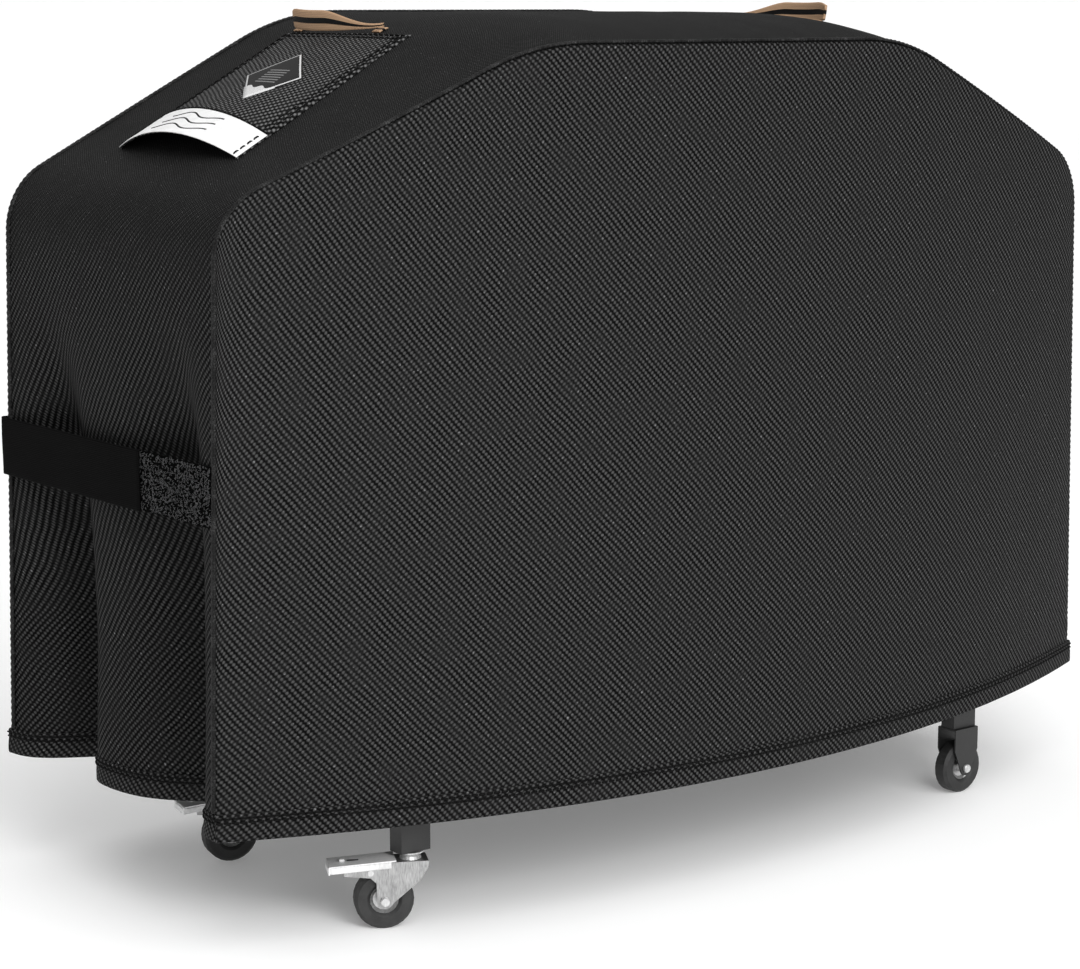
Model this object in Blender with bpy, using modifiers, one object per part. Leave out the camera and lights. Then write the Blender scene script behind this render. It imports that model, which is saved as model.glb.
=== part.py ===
# A fitted fabric cover for a wheeled outdoor grill, over the plain cart frame that carries it.
# Metres, +Z up, the front towards -Y. The origin is on the floor, under the middle of the whole.
# The cover is two shaped panels, front and back, and one long gusset sewn between them, which
# runs up the left side, over the roof and down the right side. Both ends mirror each other.
import bmesh
import bpy
import math
from mathutils import Matrix, Vector

# ---- cover: overall ----
HALF_LENGTH = 0.7365        # middle to the corner seams, at the shoulder
HALF_DEPTH = 0.2597         # half way between the front and back corner seams
HEM_Z = 0.150               # bottom of the hem above the floor
SHOULDER_H = 0.752          # hem to the bend between side and slope
FRONT_TOP_H = 0.936         # hem to the front edge of the roof
BACK_TOP_H = 0.974          # hem to the back edge of the roof
FRONT_TOP_HALF = 0.3155     # half length of the flat roof at its front edge
BACK_TOP_HALF = 0.2947      # the same at its back edge
FLARE = 0.0177              # each end stands out this much more at the hem
SHOULDER_R = 0.090          # bend between side and slope
ROOF_R = 0.360              # bend between slope and roof
FRONT_BULGE_TOP = 0.0768    # how far the front panel bellies out, at the roof
FRONT_BULGE_HEM = 0.165     # and at the hem
BACK_BULGE_TOP = 0.020
BACK_BULGE_HEM = 0.045
ROOF_RISE_SHARE = 0.50      # the roof has risen to its full height by this share of the depth

# ---- cover: cloth, seams, hem ----
CLOTH = 0.0020              # coated cloth with its lining
GAP = 0.0003                # between pieces that touch
SEAM_SETBACK = 0.0030       # gusset edge behind the face of a panel
WELT_R = 0.0020             # stitched welt along each long seam
WELT_INSET = 0.0060         # welt behind the seam, on the gusset
HEM_H = 0.034
HEM_THICK = 0.0016
HEM_EASE = 0.0004           # more room between the hem band and the cloth, at its folds

# ---- cover: folds in each end, below the shoulder ----
FOLD_TOP_H = SHOULDER_H - 0.092       # above this the end is smooth
FOLD_FULL_H = 0.180         # below this the folds have their full depth
FOLD_BROAD = 0.018          # shallow hollow over the whole end
# each fold: its depth, then as shares of HALF_DEPTH its middle, reach forwards, reach backwards
FOLDS = ((0.095, 0.5622, 0.1925, 0.1925), (0.105, -0.5968, 0.1540, 0.3273))

# ---- air vents ----
HOOD_LOW_X = HALF_LENGTH - 0.1005     # mouth of the hood, from the middle
HOOD_HIGH_X = FRONT_TOP_HALF + 0.0325 # upper end of the hood
HOOD_LONG = HOOD_LOW_X - HOOD_HIGH_X
HOOD_FRONT = 0.1137 - HALF_DEPTH      # sides of the hood at its mouth, from the middle of the end
HOOD_BACK = HALF_DEPTH - 0.1247
HOOD_WIDE = HOOD_BACK - HOOD_FRONT
HOOD_SKEW = 0.043           # both sides stand this much further back at the upper end
HOOD_RISE = 0.036           # how far the mouth arches off the slope
HOOD_FALL = 1.3             # how soon the arch dies away up the slope
HOOD_THICK = 0.0015
HOOD_EASE = 0.0011          # room between a flat-faced hood and the rounded slope
LABEL_EASE = 0.0004         # the same between the strips and the hood
LABEL_FRONT_LEN = 0.170 * HOOD_LONG   # strip along the mouth, at its two ends
LABEL_BACK_LEN = 0.270 * HOOD_LONG
LABEL_THICK = 0.0008
VENT_HALF_X = 0.300 * HOOD_LONG       # hole in the gusset under the hood
VENT_MID_X = HOOD_HIGH_X + 0.477 * HOOD_LONG
VENT_FRONT = HOOD_FRONT + 0.217 * HOOD_WIDE + HOOD_SKEW / 2
VENT_BACK = HOOD_BACK - 0.217 * HOOD_WIDE + HOOD_SKEW / 2
NET_THICK = 0.0010
NET_MARGIN = 0.012
PATCH_X = HOOD_HIGH_X + 0.440 * HOOD_LONG     # small patch on the left hood, as a diamond
PATCH_Y = HOOD_FRONT + 0.573 * HOOD_WIDE
PATCH_HALF = 0.220 * HOOD_LONG        # half a diagonal, up the slope
PATCH_ACROSS = 1.04         # the other diagonal, as a share of the first
PATCH_TURN = 0.50           # its upper corner leans back by this share of its height
PATCH_THICK = 0.0006

# ---- carry handles ----
LEFT_HANDLE_X = FRONT_TOP_HALF + 0.0215
RIGHT_HANDLE_X = FRONT_TOP_HALF - 0.0155
HANDLE_BUTT = HALF_DEPTH - 0.0847     # broad end, from the middle: backwards left, forwards right
HANDLE_TIP = HANDLE_BUTT - 0.202      # narrow end
HANDLE_RISE = 0.034
HANDLE_WIDTH = 0.027
HANDLE_TIP_WIDTH = 0.005
HANDLE_BUTT_WIDTH = 0.018
HANDLE_TAPER = 0.45         # share of the handle over which its tip widens
HANDLE_THICK = 0.0020
HANDLE_LEAN = 100.0         # degrees from upright, outwards, at rest
HANDLE_LIFT = 0.0060        # hinge line above the roof

# ---- hook and loop straps, one pair on each end ----
STRAP_H = 0.415             # hem to the middle of the strap
STRAP_WIDTH = 0.076
STRAP_THICK = 0.0022
STRAP_TIP = 0.1677 - HALF_DEPTH       # free end of the hook strap, from the middle of the end
LOOP_THICK = 0.0018
LOOP_OVERLAP = 0.022        # loop strip that lies under the hook strap

# ---- seam places along Y ----
Y_SHIFT = (FRONT_BULGE_HEM - BACK_BULGE_HEM) / 2      # centres the whole on the origin
FRONT_Y = Y_SHIFT - HALF_DEPTH
BACK_Y = Y_SHIFT + HALF_DEPTH
OUT = HALF_LENGTH + FLARE
HOOD_LIFT = GAP + HOOD_EASE + HOOD_THICK              # outside of the hood's edge off the cloth

# ---- wheels ----
WHEEL_R = 0.0375
TYRE_WIDE = 0.024
HUB_R = 0.48 * WHEEL_R
HUB_LONG = 0.0300
BOLT_R = 0.0030
BOLT_HEAD_R = 0.0062
FIT = 0.0003                # radial gap of a bolt in its hole

# ---- cart frame, held clear of the cloth ----
LEG_X = HALF_LENGTH - 0.2465
LEG_FRONT_Y = FRONT_Y - 0.0253        # the front legs stand in the belly of the front panel
LEG_BACK_Y = BACK_Y - 0.1797
LEG_WIDE = 0.044
LEG_DEEP = 0.025
LEG_WALL = 0.0020
LEG_TOP_Z = HEM_Z + SHOULDER_H - 0.112
LOWER_RAIL_Z = HEM_Z + 0.065
RAIL = 0.020                # square bar
RING_BACK_Y = BACK_Y - 0.0497         # the top ring reaches further back than the legs
RING_Z = LEG_TOP_Z + GAP + RAIL / 2   # middle of the top ring and the end frames
SHELF_R = 0.0100            # round tube of the end frames
SHELF_END_X = HALF_LENGTH - 0.0365
SHELF_FRONT_Y = FRONT_Y + 0.0497
SHELF_BACK_Y = BACK_Y - 0.0697
SHELF_BEND = 0.040
HOOP_FRONT_Y = FRONT_Y + 0.0997
HOOP_BACK_Y = BACK_Y - 0.1197
HOOP_R = 0.0080
HOOP_UNDER = 0.022          # hoop centre line below the cloth

# ---- forks and brake pedals ----
FORK_INNER = HUB_LONG + 0.0010
FORK_WALL = 0.0022
FORK_TOP_Z = 2 * WHEEL_R + 0.0125
RACE_ROOM = 0.0100          # between the top of a fork and the foot of its leg
LEG_FOOT_Z = FORK_TOP_Z + RACE_ROOM
TRAIL = 0.034               # swivel axis to axle
STEM_R = 0.0045
STEM_LONG = 0.045           # up inside the leg
RACE_R = 0.0165
BRACKET_WIDE = 0.046        # fixed fork, along X
BRACKET_STRAIGHT = 0.027    # its cheeks run straight down to this height above the axle
CHEEK_R = 0.0100            # rounding of a fork's cheek round the axle
PEDAL_PIVOT_X = -0.052      # from the swivel axis
PEDAL_PIVOT_Z = FORK_TOP_Z - 0.0125
PEDAL_PIN_R = 0.0022
PEDAL_IN = -0.0200          # inner and outer end of the pedal plate
PEDAL_OUT = -0.1040
PEDAL_WIDE = 0.0400
PEDAL_Z = FORK_TOP_Z + 0.0015         # underside of the pedal plate, at its inner end
PEDAL_DROP = 0.0045         # the outer end stands this much lower
PEDAL_LIP = 0.0090
PEDAL_THICK = 0.0016
PEDAL_LUG = 0.0020
SWIVEL_REST = {"front": -28.0, "back": -12.0}         # degrees that each fork stands turned

# ---- steps of the curved cloth ----
SIDE_ROWS = 7
ARC_STEPS = 5
SLOPE_STEPS = 4
ROOF_STEPS = 3
DEPTH_STEPS = 22


# ------------------------------------------------------------------ tools
def clear_scene():
    for old in list(bpy.data.objects):
        bpy.data.objects.remove(old, do_unlink=True)


def collection(name):
    made = bpy.data.collections.new(name)
    bpy.context.scene.collection.children.link(made)
    return made


def material(name, rgb, roughness, metallic=0.0):
    made = bpy.data.materials.new(name)
    made.use_nodes = True
    shader = made.node_tree.nodes["Principled BSDF"]
    shader.inputs["Base Color"].default_value = (*rgb, 1.0)
    shader.inputs["Roughness"].default_value = roughness
    shader.inputs["Metallic"].default_value = metallic
    return made


def place(name, mesh, look, smooth=None):
    piece = bpy.data.objects.new(name, mesh)
    PARTS.objects.link(piece)
    mesh.materials.clear()
    mesh.materials.append(look)
    if smooth is not None:
        mesh.shade_smooth()
        mesh.set_sharp_from_angle(angle=math.radians(smooth))
    return piece


def finish(name, bm, look, smooth=None):
    mesh = bpy.data.meshes.new(name)
    bm.to_mesh(mesh)
    bm.free()
    return place(name, mesh, look, smooth)


def thicken(piece, thickness, offset=-1.0):
    solid = piece.modifiers.new("thickness", 'SOLIDIFY')
    solid.thickness = thickness
    solid.offset = offset
    solid.use_even_offset = True
    return solid


def cloth_sheet(name, columns, rows, point, look, thickness, ring=False):
    """A grid whose corner (column, row) is moved to point(column, row), then given a thickness."""
    bm = bmesh.new()
    bmesh.ops.create_grid(bm, x_segments=columns, y_segments=rows, size=0.5)
    for vert in bm.verts:
        column = round((vert.co.x + 0.5) * columns)
        row = round((vert.co.y + 0.5) * rows)
        vert.co = point(column, row)
    if ring:
        bmesh.ops.remove_doubles(bm, verts=bm.verts, dist=1e-5)
    piece = finish(name, bm, look, 60)
    thicken(piece, thickness)
    return piece


def box(name, low, high, look):
    bm = bmesh.new()
    bmesh.ops.create_cube(bm, size=1.0)
    low = Vector(low)
    high = Vector(high)
    size = high - low
    bmesh.ops.scale(bm, vec=size, verts=bm.verts)
    bmesh.ops.translate(bm, vec=(low + high) / 2, verts=bm.verts)
    return finish(name, bm, look)


def cut(piece, cutter, operation='DIFFERENCE'):
    CUTTERS.objects.link(cutter)
    PARTS.objects.unlink(cutter)
    cutter.hide_render = True
    cutter.display_type = 'WIRE'
    boolean = piece.modifiers.new(cutter.name, 'BOOLEAN')
    boolean.operation = operation
    boolean.object = cutter
    boolean.solver = 'EXACT'
    return boolean


def turned(name, profile, steps, look, centre, axis):
    """A profile of (radius, height) points, from the top down, turned about its own axis."""
    bm = bmesh.new()
    verts = [bm.verts.new((radius, 0.0, height)) for radius, height in profile]
    for first, second in zip(verts, verts[1:]):
        bm.edges.new((first, second))
    piece = finish(name, bm, look, 40)
    screw = piece.modifiers.new("turn", 'SCREW')
    screw.steps = steps
    screw.render_steps = steps
    screw.use_merge_vertices = True
    screw.merge_threshold = 0.00001
    screw.use_smooth_shade = True
    piece.location = centre
    if axis == 'Y':
        piece.rotation_euler = (math.radians(90), 0.0, 0.0)
    return piece


def curve_mesh(name, points, radius, sides, closed=False):
    """A round tube along points, as a welded closed mesh."""
    curve = bpy.data.curves.new(name, 'CURVE')
    curve.dimensions = '3D'
    curve.bevel_depth = radius
    curve.bevel_resolution = sides
    curve.use_fill_caps = not closed
    spline = curve.splines.new('POLY')
    spline.points.add(len(points) - 1)
    spline.use_cyclic_u = closed
    for spot, where in zip(spline.points, points):
        spot.co = (*where, 1.0)
    return meshed(name, curve)


def outline_mesh(name, points, thickness):
    """A flat outline in X and Z, thickness along Y, centred on Y = 0."""
    curve = bpy.data.curves.new(name, 'CURVE')
    curve.dimensions = '2D'
    curve.fill_mode = 'BOTH'
    curve.extrude = thickness / 2
    spline = curve.splines.new('POLY')
    spline.points.add(len(points) - 1)
    spline.use_cyclic_u = True
    for spot, (x, z) in zip(spline.points, points):
        spot.co = (x, z, 0.0, 1.0)
    mesh = meshed(name, curve)
    mesh.transform(Matrix.Rotation(math.radians(90), 4, 'X'))
    return mesh


def meshed(name, curve):
    holder = bpy.data.objects.new(name + "_line", curve)
    bpy.context.scene.collection.objects.link(holder)
    evaluated = holder.evaluated_get(bpy.context.evaluated_depsgraph_get())
    mesh = bpy.data.meshes.new_from_object(evaluated)
    bpy.data.objects.remove(holder, do_unlink=True)
    bm = bmesh.new()
    bm.from_mesh(mesh)
    bmesh.ops.remove_doubles(bm, verts=bm.verts, dist=1e-6)
    bmesh.ops.recalc_face_normals(bm, faces=bm.faces)
    bm.to_mesh(mesh)
    bm.free()
    return mesh


def mirrored(piece, name):
    """The same piece on the other end, with its modifiers."""
    mesh = piece.data.copy()
    bm = bmesh.new()
    bm.from_mesh(mesh)
    bmesh.ops.scale(bm, vec=(-1, 1, 1), verts=bm.verts)
    bmesh.ops.reverse_faces(bm, faces=bm.faces)
    bm.to_mesh(mesh)
    bm.free()
    other = place(name, mesh, piece.data.materials[0], 60)
    other.location = (-piece.location.x, piece.location.y, piece.location.z)
    for modifier in piece.modifiers:
        thicken(other, modifier.thickness, modifier.offset)
    return other


# ------------------------------------------------------------------ shape of the cover
def mix(a, b, share):
    return a + (b - a) * share


def smooth_step(value):
    value = max(0.0, min(1.0, value))
    return value * value * (3 - 2 * value)


def rounded_corner(before, corner, after, radius, steps):
    """Points of the arc that rounds a corner of an outline, from one straight to the next."""
    back = (before - corner).normalized()
    ahead = (after - corner).normalized()
    half = back.angle(ahead) / 2
    run = radius / math.tan(half)
    centre = corner + (back + ahead).normalized() * (radius / math.sin(half))
    first = corner + back * run - centre
    last = corner + ahead * run - centre
    sweep = first.angle(last)
    points = []
    for step in range(steps + 1):
        share = step / steps
        spoke = first * math.sin((1 - share) * sweep) + last * math.sin(share * sweep)
        points.append(centre + spoke / math.sin(sweep))
    return points


def outline(top_height, top_half):
    """The end-to-end outline of the cover, hem to hem, as (x, height above the hem) points."""
    hem = Vector((-HALF_LENGTH, 0.0))
    shoulder = Vector((-HALF_LENGTH, SHOULDER_H))
    roof = Vector((-top_half, top_height))
    middle = Vector((0.0, top_height))
    lower = rounded_corner(hem, shoulder, roof, SHOULDER_R, ARC_STEPS)
    upper = rounded_corner(shoulder, roof, middle, ROOF_R, ARC_STEPS)
    half = [hem.lerp(lower[0], row / SIDE_ROWS) for row in range(SIDE_ROWS)]
    half += lower
    half += [lower[-1].lerp(upper[0], step / SLOPE_STEPS) for step in range(1, SLOPE_STEPS)]
    half += upper
    half += [upper[-1].lerp(middle, step / ROOF_STEPS) for step in range(1, ROOF_STEPS + 1)]
    other = [Vector((-point.x, point.y)) for point in reversed(half[:-1])]
    return [Vector((flared(p.x, p.y), p.y)) for p in half + other]


def flared(x, height):
    return x * (1 + FLARE / HALF_LENGTH * max(0.0, 1 - height / SHOULDER_H))


def panel_y(x, height, side):
    """Where the front (side -1) or back (side 1) panel is, at a place in its outline."""
    top, low = (FRONT_BULGE_TOP, FRONT_BULGE_HEM)
    if side > 0:
        top, low = (BACK_BULGE_TOP, BACK_BULGE_HEM)
    bulge = mix(low, top, height / FRONT_TOP_H)
    wide = flared(HALF_LENGTH, height)
    belly = bulge * (1 - min(1.0, (x / wide) ** 2))
    return Y_SHIFT + side * (HALF_DEPTH + belly)


def roof_share(depth_share):
    """0 on the front outline, 1 on the back one: the roof rises quickly, then runs level."""
    return 1 - (1 - min(1.0, depth_share / ROOF_RISE_SHARE)) ** 3


def fold_depth(y, height):
    """How far the end of the cover folds inwards."""
    from_middle = y - Y_SHIFT
    share = smooth_step((FOLD_TOP_H - height) / (FOLD_TOP_H - FOLD_FULL_H))
    depth = FOLD_BROAD * max(0.0, 1 - (from_middle / HALF_DEPTH) ** 2) ** 2
    for deep, middle, forwards, backwards in FOLDS:
        off = from_middle / HALF_DEPTH - middle
        depth += deep * math.exp(-(off / (backwards if off > 0 else forwards)) ** 2)
    return depth * share


def gusset_point(front, back, depth_share):
    """The outside of the gusset between a point of the front outline and one of the back."""
    share = roof_share(depth_share)
    x = mix(front.x, back.x, share)
    height = mix(front.y, back.y, share)
    near = panel_y(front.x, front.y, -1) + SEAM_SETBACK
    far = panel_y(back.x, back.y, 1) - SEAM_SETBACK
    y = mix(near, far, depth_share)
    x -= math.copysign(fold_depth(y, height), x) if height < FOLD_TOP_H else 0.0
    return Vector((x, y, HEM_Z + height))


def top_height(x, y):
    """Height of the gusset's outside over a place on the slopes or the roof."""
    share = (y - FRONT_Y) / (BACK_Y - FRONT_Y)
    for _ in range(4):
        level = roof_share(max(0.0, share))
        front, back = outline_pair(level, x)
        near = panel_y(front.x, front.y, -1) + SEAM_SETBACK
        far = panel_y(back.x, back.y, 1) - SEAM_SETBACK
        share = (y - near) / (far - near)
    return HEM_Z + mix(front.y, back.y, roof_share(max(0.0, share)))


def outline_pair(level, x):
    """The matching points of both outlines whose mix at this level is at x, on the upper side."""
    for index in range(SIDE_ROWS, len(FRONT_OUTLINE) - SIDE_ROWS):
        first = mix(FRONT_OUTLINE[index].x, BACK_OUTLINE[index].x, level)
        second = mix(FRONT_OUTLINE[index + 1].x, BACK_OUTLINE[index + 1].x, level)
        if first <= x <= second and second > first:
            share = (x - first) / (second - first)
            front = FRONT_OUTLINE[index].lerp(FRONT_OUTLINE[index + 1], share)
            return front, BACK_OUTLINE[index].lerp(BACK_OUTLINE[index + 1], share)
    return FRONT_OUTLINE[SIDE_ROWS], BACK_OUTLINE[SIDE_ROWS]


def slope_surface(x, y):
    """Height of the outside of the slope or roof over a place, and its outward direction."""
    step = 0.002
    along = (top_height(x + step, y) - top_height(x - step, y)) / (2 * step)
    across = (top_height(x, y + step) - top_height(x, y - step)) / (2 * step)
    return top_height(x, y), Vector((-along, -across, 1.0)).normalized()


# ------------------------------------------------------------------ cover pieces
def panel(name, side, look):
    """Front or back panel: columns from shoulder to shoulder, rows from the hem up."""
    edge = (FRONT_OUTLINE if side < 0 else BACK_OUTLINE)[SIDE_ROWS:-SIDE_ROWS]
    across = panel_columns(side)
    columns = len(edge) - 1

    def point(column, row):
        index = column if side < 0 else columns - column
        height = edge[index].y * row / SIDE_ROWS
        x = flared(across[index], height)
        return (x, panel_y(x, height, side), HEM_Z + height)
    return cloth_sheet(name, columns, SIDE_ROWS, point, look, CLOTH)


def gusset(look):
    columns = len(FRONT_OUTLINE) - 1

    def point(column, row):
        return gusset_point(FRONT_OUTLINE[column], BACK_OUTLINE[column], row / DEPTH_STEPS)
    piece = cloth_sheet("gusset_panel", columns, DEPTH_STEPS, point, look, CLOTH)
    for end in (-1, 1):
        x = sorted((end * (VENT_MID_X - VENT_HALF_X), end * (VENT_MID_X + VENT_HALF_X)))
        low = (x[0], Y_SHIFT + VENT_FRONT, HEM_Z + SHOULDER_H - 0.03)
        high = (x[1], Y_SHIFT + VENT_BACK, HEM_Z + BACK_TOP_H + 0.03)
        cut(piece, box("vent_hole_left" if end < 0 else "vent_hole_right", low, high, look))
    return piece


def panel_columns(side):
    """Where the columns of a panel stand along its length, from left to right, without flare."""
    edge = (FRONT_OUTLINE if side < 0 else BACK_OUTLINE)[SIDE_ROWS:-SIDE_ROWS]
    return [spot.x / (1 + FLARE / HALF_LENGTH * max(0.0, 1 - spot.y / SHOULDER_H)) for spot in edge]


def hem_band(look):
    """One band round the whole bottom edge, outside the cloth."""
    def plan(height):
        loop = []
        for base_x in panel_columns(-1):
            x = flared(base_x, height)
            loop.append(Vector((x, panel_y(x, height, -1))))
        loop += [end_plan(1, step / DEPTH_STEPS, height) for step in range(DEPTH_STEPS + 1)]
        for base_x in panel_columns(1):
            x = flared(-base_x, height)
            loop.append(Vector((x, panel_y(x, height, 1))))
        loop += [end_plan(-1, 1 - step / DEPTH_STEPS, height) for step in range(DEPTH_STEPS + 1)]
        return loop
    rows = [offset_loop(plan(height), GAP + HEM_THICK + HEM_EASE) for height in (0.0, HEM_H)]
    columns = len(rows[0])

    def point(column, row):
        spot = rows[row][column % columns]
        return (spot.x, spot.y, HEM_Z + (0.0, HEM_H)[row])
    return cloth_sheet("hem_band", columns, 1, point, look, HEM_THICK, ring=True)


def end_plan(end, share, height):
    """The outside of an end of the gusset at the same steps as the gusset's own mesh."""
    near = panel_y(OUT, height, -1) + SEAM_SETBACK
    far = panel_y(OUT, height, 1) - SEAM_SETBACK
    y = mix(near, far, share)
    return Vector((end * (flared(HALF_LENGTH, height) - fold_depth(y, height)), y))


def offset_loop(loop, distance):
    """A closed plan line moved outwards, keeping its corners square. The line runs round to
    the right at the front, so outwards is to its right."""
    moved = []
    for index, spot in enumerate(loop):
        before = (spot - loop[index - 1]).normalized()
        after = (loop[(index + 1) % len(loop)] - spot).normalized()
        normal_a = Vector((before.y, -before.x))
        normal_b = Vector((after.y, -after.x))
        middle = (normal_a + normal_b).normalized()
        moved.append(spot + middle * (distance / max(0.5, middle.dot(normal_a))))
    return moved


def welt(name, side, look):
    """Stitched welt on the gusset, beside a long seam, from hem band to hem band."""
    points = []
    edge = FRONT_OUTLINE if side < 0 else BACK_OUTLINE
    lift = WELT_R + GAP + 0.0002
    for index, spot in enumerate(edge):
        before = edge[max(0, index - 1)]
        after = edge[min(len(edge) - 1, index + 1)]
        run = (after - before).normalized()
        outwards = Vector((-run.y, run.x))
        height = max(spot.y, HEM_H + GAP + WELT_R * 0.5)
        x = flared(HALF_LENGTH, height) * math.copysign(1, spot.x) if spot.y == 0 else spot.x
        seam_y = panel_y(x, height, side) - side * WELT_INSET
        inset = WELT_INSET / (2 * HALF_DEPTH)
        level = roof_share(inset) if side < 0 else 1.0
        other = BACK_OUTLINE if side < 0 else edge
        rise = mix(height, other[index].y, level) if spot.y > SHOULDER_H else height
        points.append((x + outwards.x * lift, seam_y, HEM_Z + rise + outwards.y * lift))
    return place(name, curve_mesh(name, points, WELT_R, 1), look, 60)


def hood_point(up, across, lift):
    """A point of the left hood: up is 0 at its mouth and 1 at its upper end, across 0 at the front."""
    x = -mix(HOOD_LOW_X, HOOD_HIGH_X, up)
    y = Y_SHIFT + mix(HOOD_FRONT, HOOD_BACK, across) + HOOD_SKEW * up
    z, normal = slope_surface(x, y)
    arch = HOOD_RISE * (1 - (2 * across - 1) ** 2) * max(0.0, 1 - up) ** HOOD_FALL
    return Vector((x, y, z)) + normal * (arch + lift)


def vent_hood(look):
    columns, rows = 8, 10

    def point(column, row):
        return hood_point(column / columns, row / rows, HOOD_LIFT)
    return cloth_sheet("left_vent_hood", columns, rows, point, look, HOOD_THICK)


def vent_label(look):
    columns, rows = 2, 10

    def point(column, row):
        lift = HOOD_LIFT + GAP + LABEL_EASE + LABEL_THICK
        reach = mix(LABEL_FRONT_LEN, LABEL_BACK_LEN, row / rows) / HOOD_LONG
        return hood_point(reach * column / columns, row / rows, lift)
    return cloth_sheet("left_vent_label", columns, rows, point, look, LABEL_THICK)


def vent_net(look):
    """Insect net under the hole, inside the gusset."""
    columns, rows = 2, 2

    def point(column, row):
        reach = VENT_HALF_X + NET_MARGIN
        x = -VENT_MID_X + mix(-reach, reach, column / columns)
        y = Y_SHIFT + mix(VENT_FRONT - NET_MARGIN, VENT_BACK + NET_MARGIN, row / rows)
        z, normal = slope_surface(x, y)
        return Vector((x, y, z)) - normal * (CLOTH + 0.0012)
    return cloth_sheet("left_vent_net", columns, rows, point, look, NET_THICK)


def patch(look):
    """Small square patch lying on the left hood, corners up, down, front and back."""
    columns = rows = 4

    def point(column, row):
        a = 2 * column / columns - 1
        b = 2 * row / rows - 1
        along = (a - b) / 2 * PATCH_HALF
        across = (a + b) / 2 * PATCH_HALF * PATCH_ACROSS
        up = (HOOD_LOW_X - PATCH_X + along) / HOOD_LONG
        y = PATCH_Y + across + along * PATCH_TURN - HOOD_SKEW * up
        lift = HOOD_LIFT + GAP + LABEL_EASE + PATCH_THICK
        return hood_point(up, (y - HOOD_FRONT) / HOOD_WIDE, lift)
    return cloth_sheet("care_patch", columns, rows, point, look, PATCH_THICK)


def handle(name, end, hinge_x, look):
    """Carry handle: a webbing arch that leans outwards, its origin on its hinge line. The right
    one is the left one turned half round, so their broad ends lie back left and front right."""
    steps = 16
    lean = math.radians(HANDLE_LEAN)
    ends = []
    for reach in (HANDLE_TIP, HANDLE_BUTT):
        x = end * hinge_x
        y = Y_SHIFT - end * reach
        ends.append(Vector((x, y, slope_surface(x, y)[0] + HANDLE_LIFT)))
    run = ends[1] - ends[0]
    along = run.normalized()
    up = Vector((end * math.sin(lean), 0.0, math.cos(lean)))
    up = (up - along * up.dot(along)).normalized()
    wide = along.cross(up)
    if wide.z < 0:
        wide = -wide

    def point(column, row):
        share = column / steps
        swell = math.sin(math.pi * share) ** 0.6
        widest = mix(HANDLE_WIDTH, HANDLE_BUTT_WIDTH, smooth_step((share - 0.8) / 0.2))
        width = mix(HANDLE_TIP_WIDTH, widest, smooth_step(share / HANDLE_TAPER))
        return run * (share - 0.5) + up * (HANDLE_RISE * swell) + wide * (width * (1 - row / 2))
    piece = cloth_sheet(name, steps, 2, point, look, HANDLE_THICK)
    piece.modifiers[0].offset = 0.0
    piece.location = (ends[0] + ends[1]) / 2
    return piece


def straps(webbing, fuzzy):
    """Left pair: the hook strap turns at the back seam, the loop strip is sewn at the front."""
    wall_x = flared(HALF_LENGTH, STRAP_H - STRAP_WIDTH / 2)
    inner = wall_x + 2 * WELT_R + 3 * GAP
    low = HEM_Z + STRAP_H - STRAP_WIDTH / 2
    high = low + STRAP_WIDTH
    hook = box("left_hook_strap", (-inner - STRAP_THICK, Y_SHIFT + STRAP_TIP, low),
               (-inner, BACK_Y + 0.004, high), webbing)
    loop_x = wall_x + 2 * GAP
    start = FRONT_Y + WELT_INSET + WELT_R + 0.001
    loop = box("left_loop_strip", (-loop_x - LOOP_THICK, start, low + 0.001),
               (-loop_x, Y_SHIFT + STRAP_TIP + LOOP_OVERLAP, high - 0.001), fuzzy)
    return hook, loop


# ------------------------------------------------------------------ cart frame
def legs(look):
    for end, side in ((-1, "left"), (1, "right")):
        for y, place_name in ((LEG_FRONT_Y, "front"), (LEG_BACK_Y, "back")):
            name = side + "_" + place_name + "_leg"
            low = Vector((end * LEG_X - LEG_WIDE / 2, y - LEG_DEEP / 2, LEG_FOOT_Z))
            high = Vector((end * LEG_X + LEG_WIDE / 2, y + LEG_DEEP / 2, LEG_TOP_Z))
            leg = box(name, low, high, look)
            wall = Vector((LEG_WALL, LEG_WALL, 0.0))
            cut(leg, box(name + "_hollow", low + wall - Vector((0, 0, 0.01)),
                         high - wall - Vector((0, 0, LEG_WALL)), look))


def rails(look):
    """Two rails low down between the legs on each side, and a ring of four on top of them."""
    half = RAIL / 2
    inner_x = LEG_X - LEG_WIDE / 2 - GAP
    for side, y in (("front", LEG_FRONT_Y), ("back", LEG_BACK_Y)):
        box(side + "_lower_rail", (-inner_x, y - half, LOWER_RAIL_Z - half),
            (inner_x, y + half, LOWER_RAIL_Z + half), look)
    ring_x = LEG_X - half - GAP
    for side, y in (("front", LEG_FRONT_Y), ("back", RING_BACK_Y)):
        box(side + "_upper_rail", (-ring_x, y - half, RING_Z - half),
            (ring_x, y + half, RING_Z + half), look)
    front = LEG_FRONT_Y + LEG_DEEP / 2 + GAP
    back = LEG_BACK_Y - LEG_DEEP / 2 - GAP
    for side, x in (("left", -LEG_X), ("right", LEG_X)):
        box(side + "_lower_rail", (x - half, front, LOWER_RAIL_Z - half),
            (x + half, back, LOWER_RAIL_Z + half), look)
        box(side + "_upper_rail", (x - half, LEG_FRONT_Y - half, RING_Z - half),
            (x + half, RING_BACK_Y + half, RING_Z + half), look)


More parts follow.
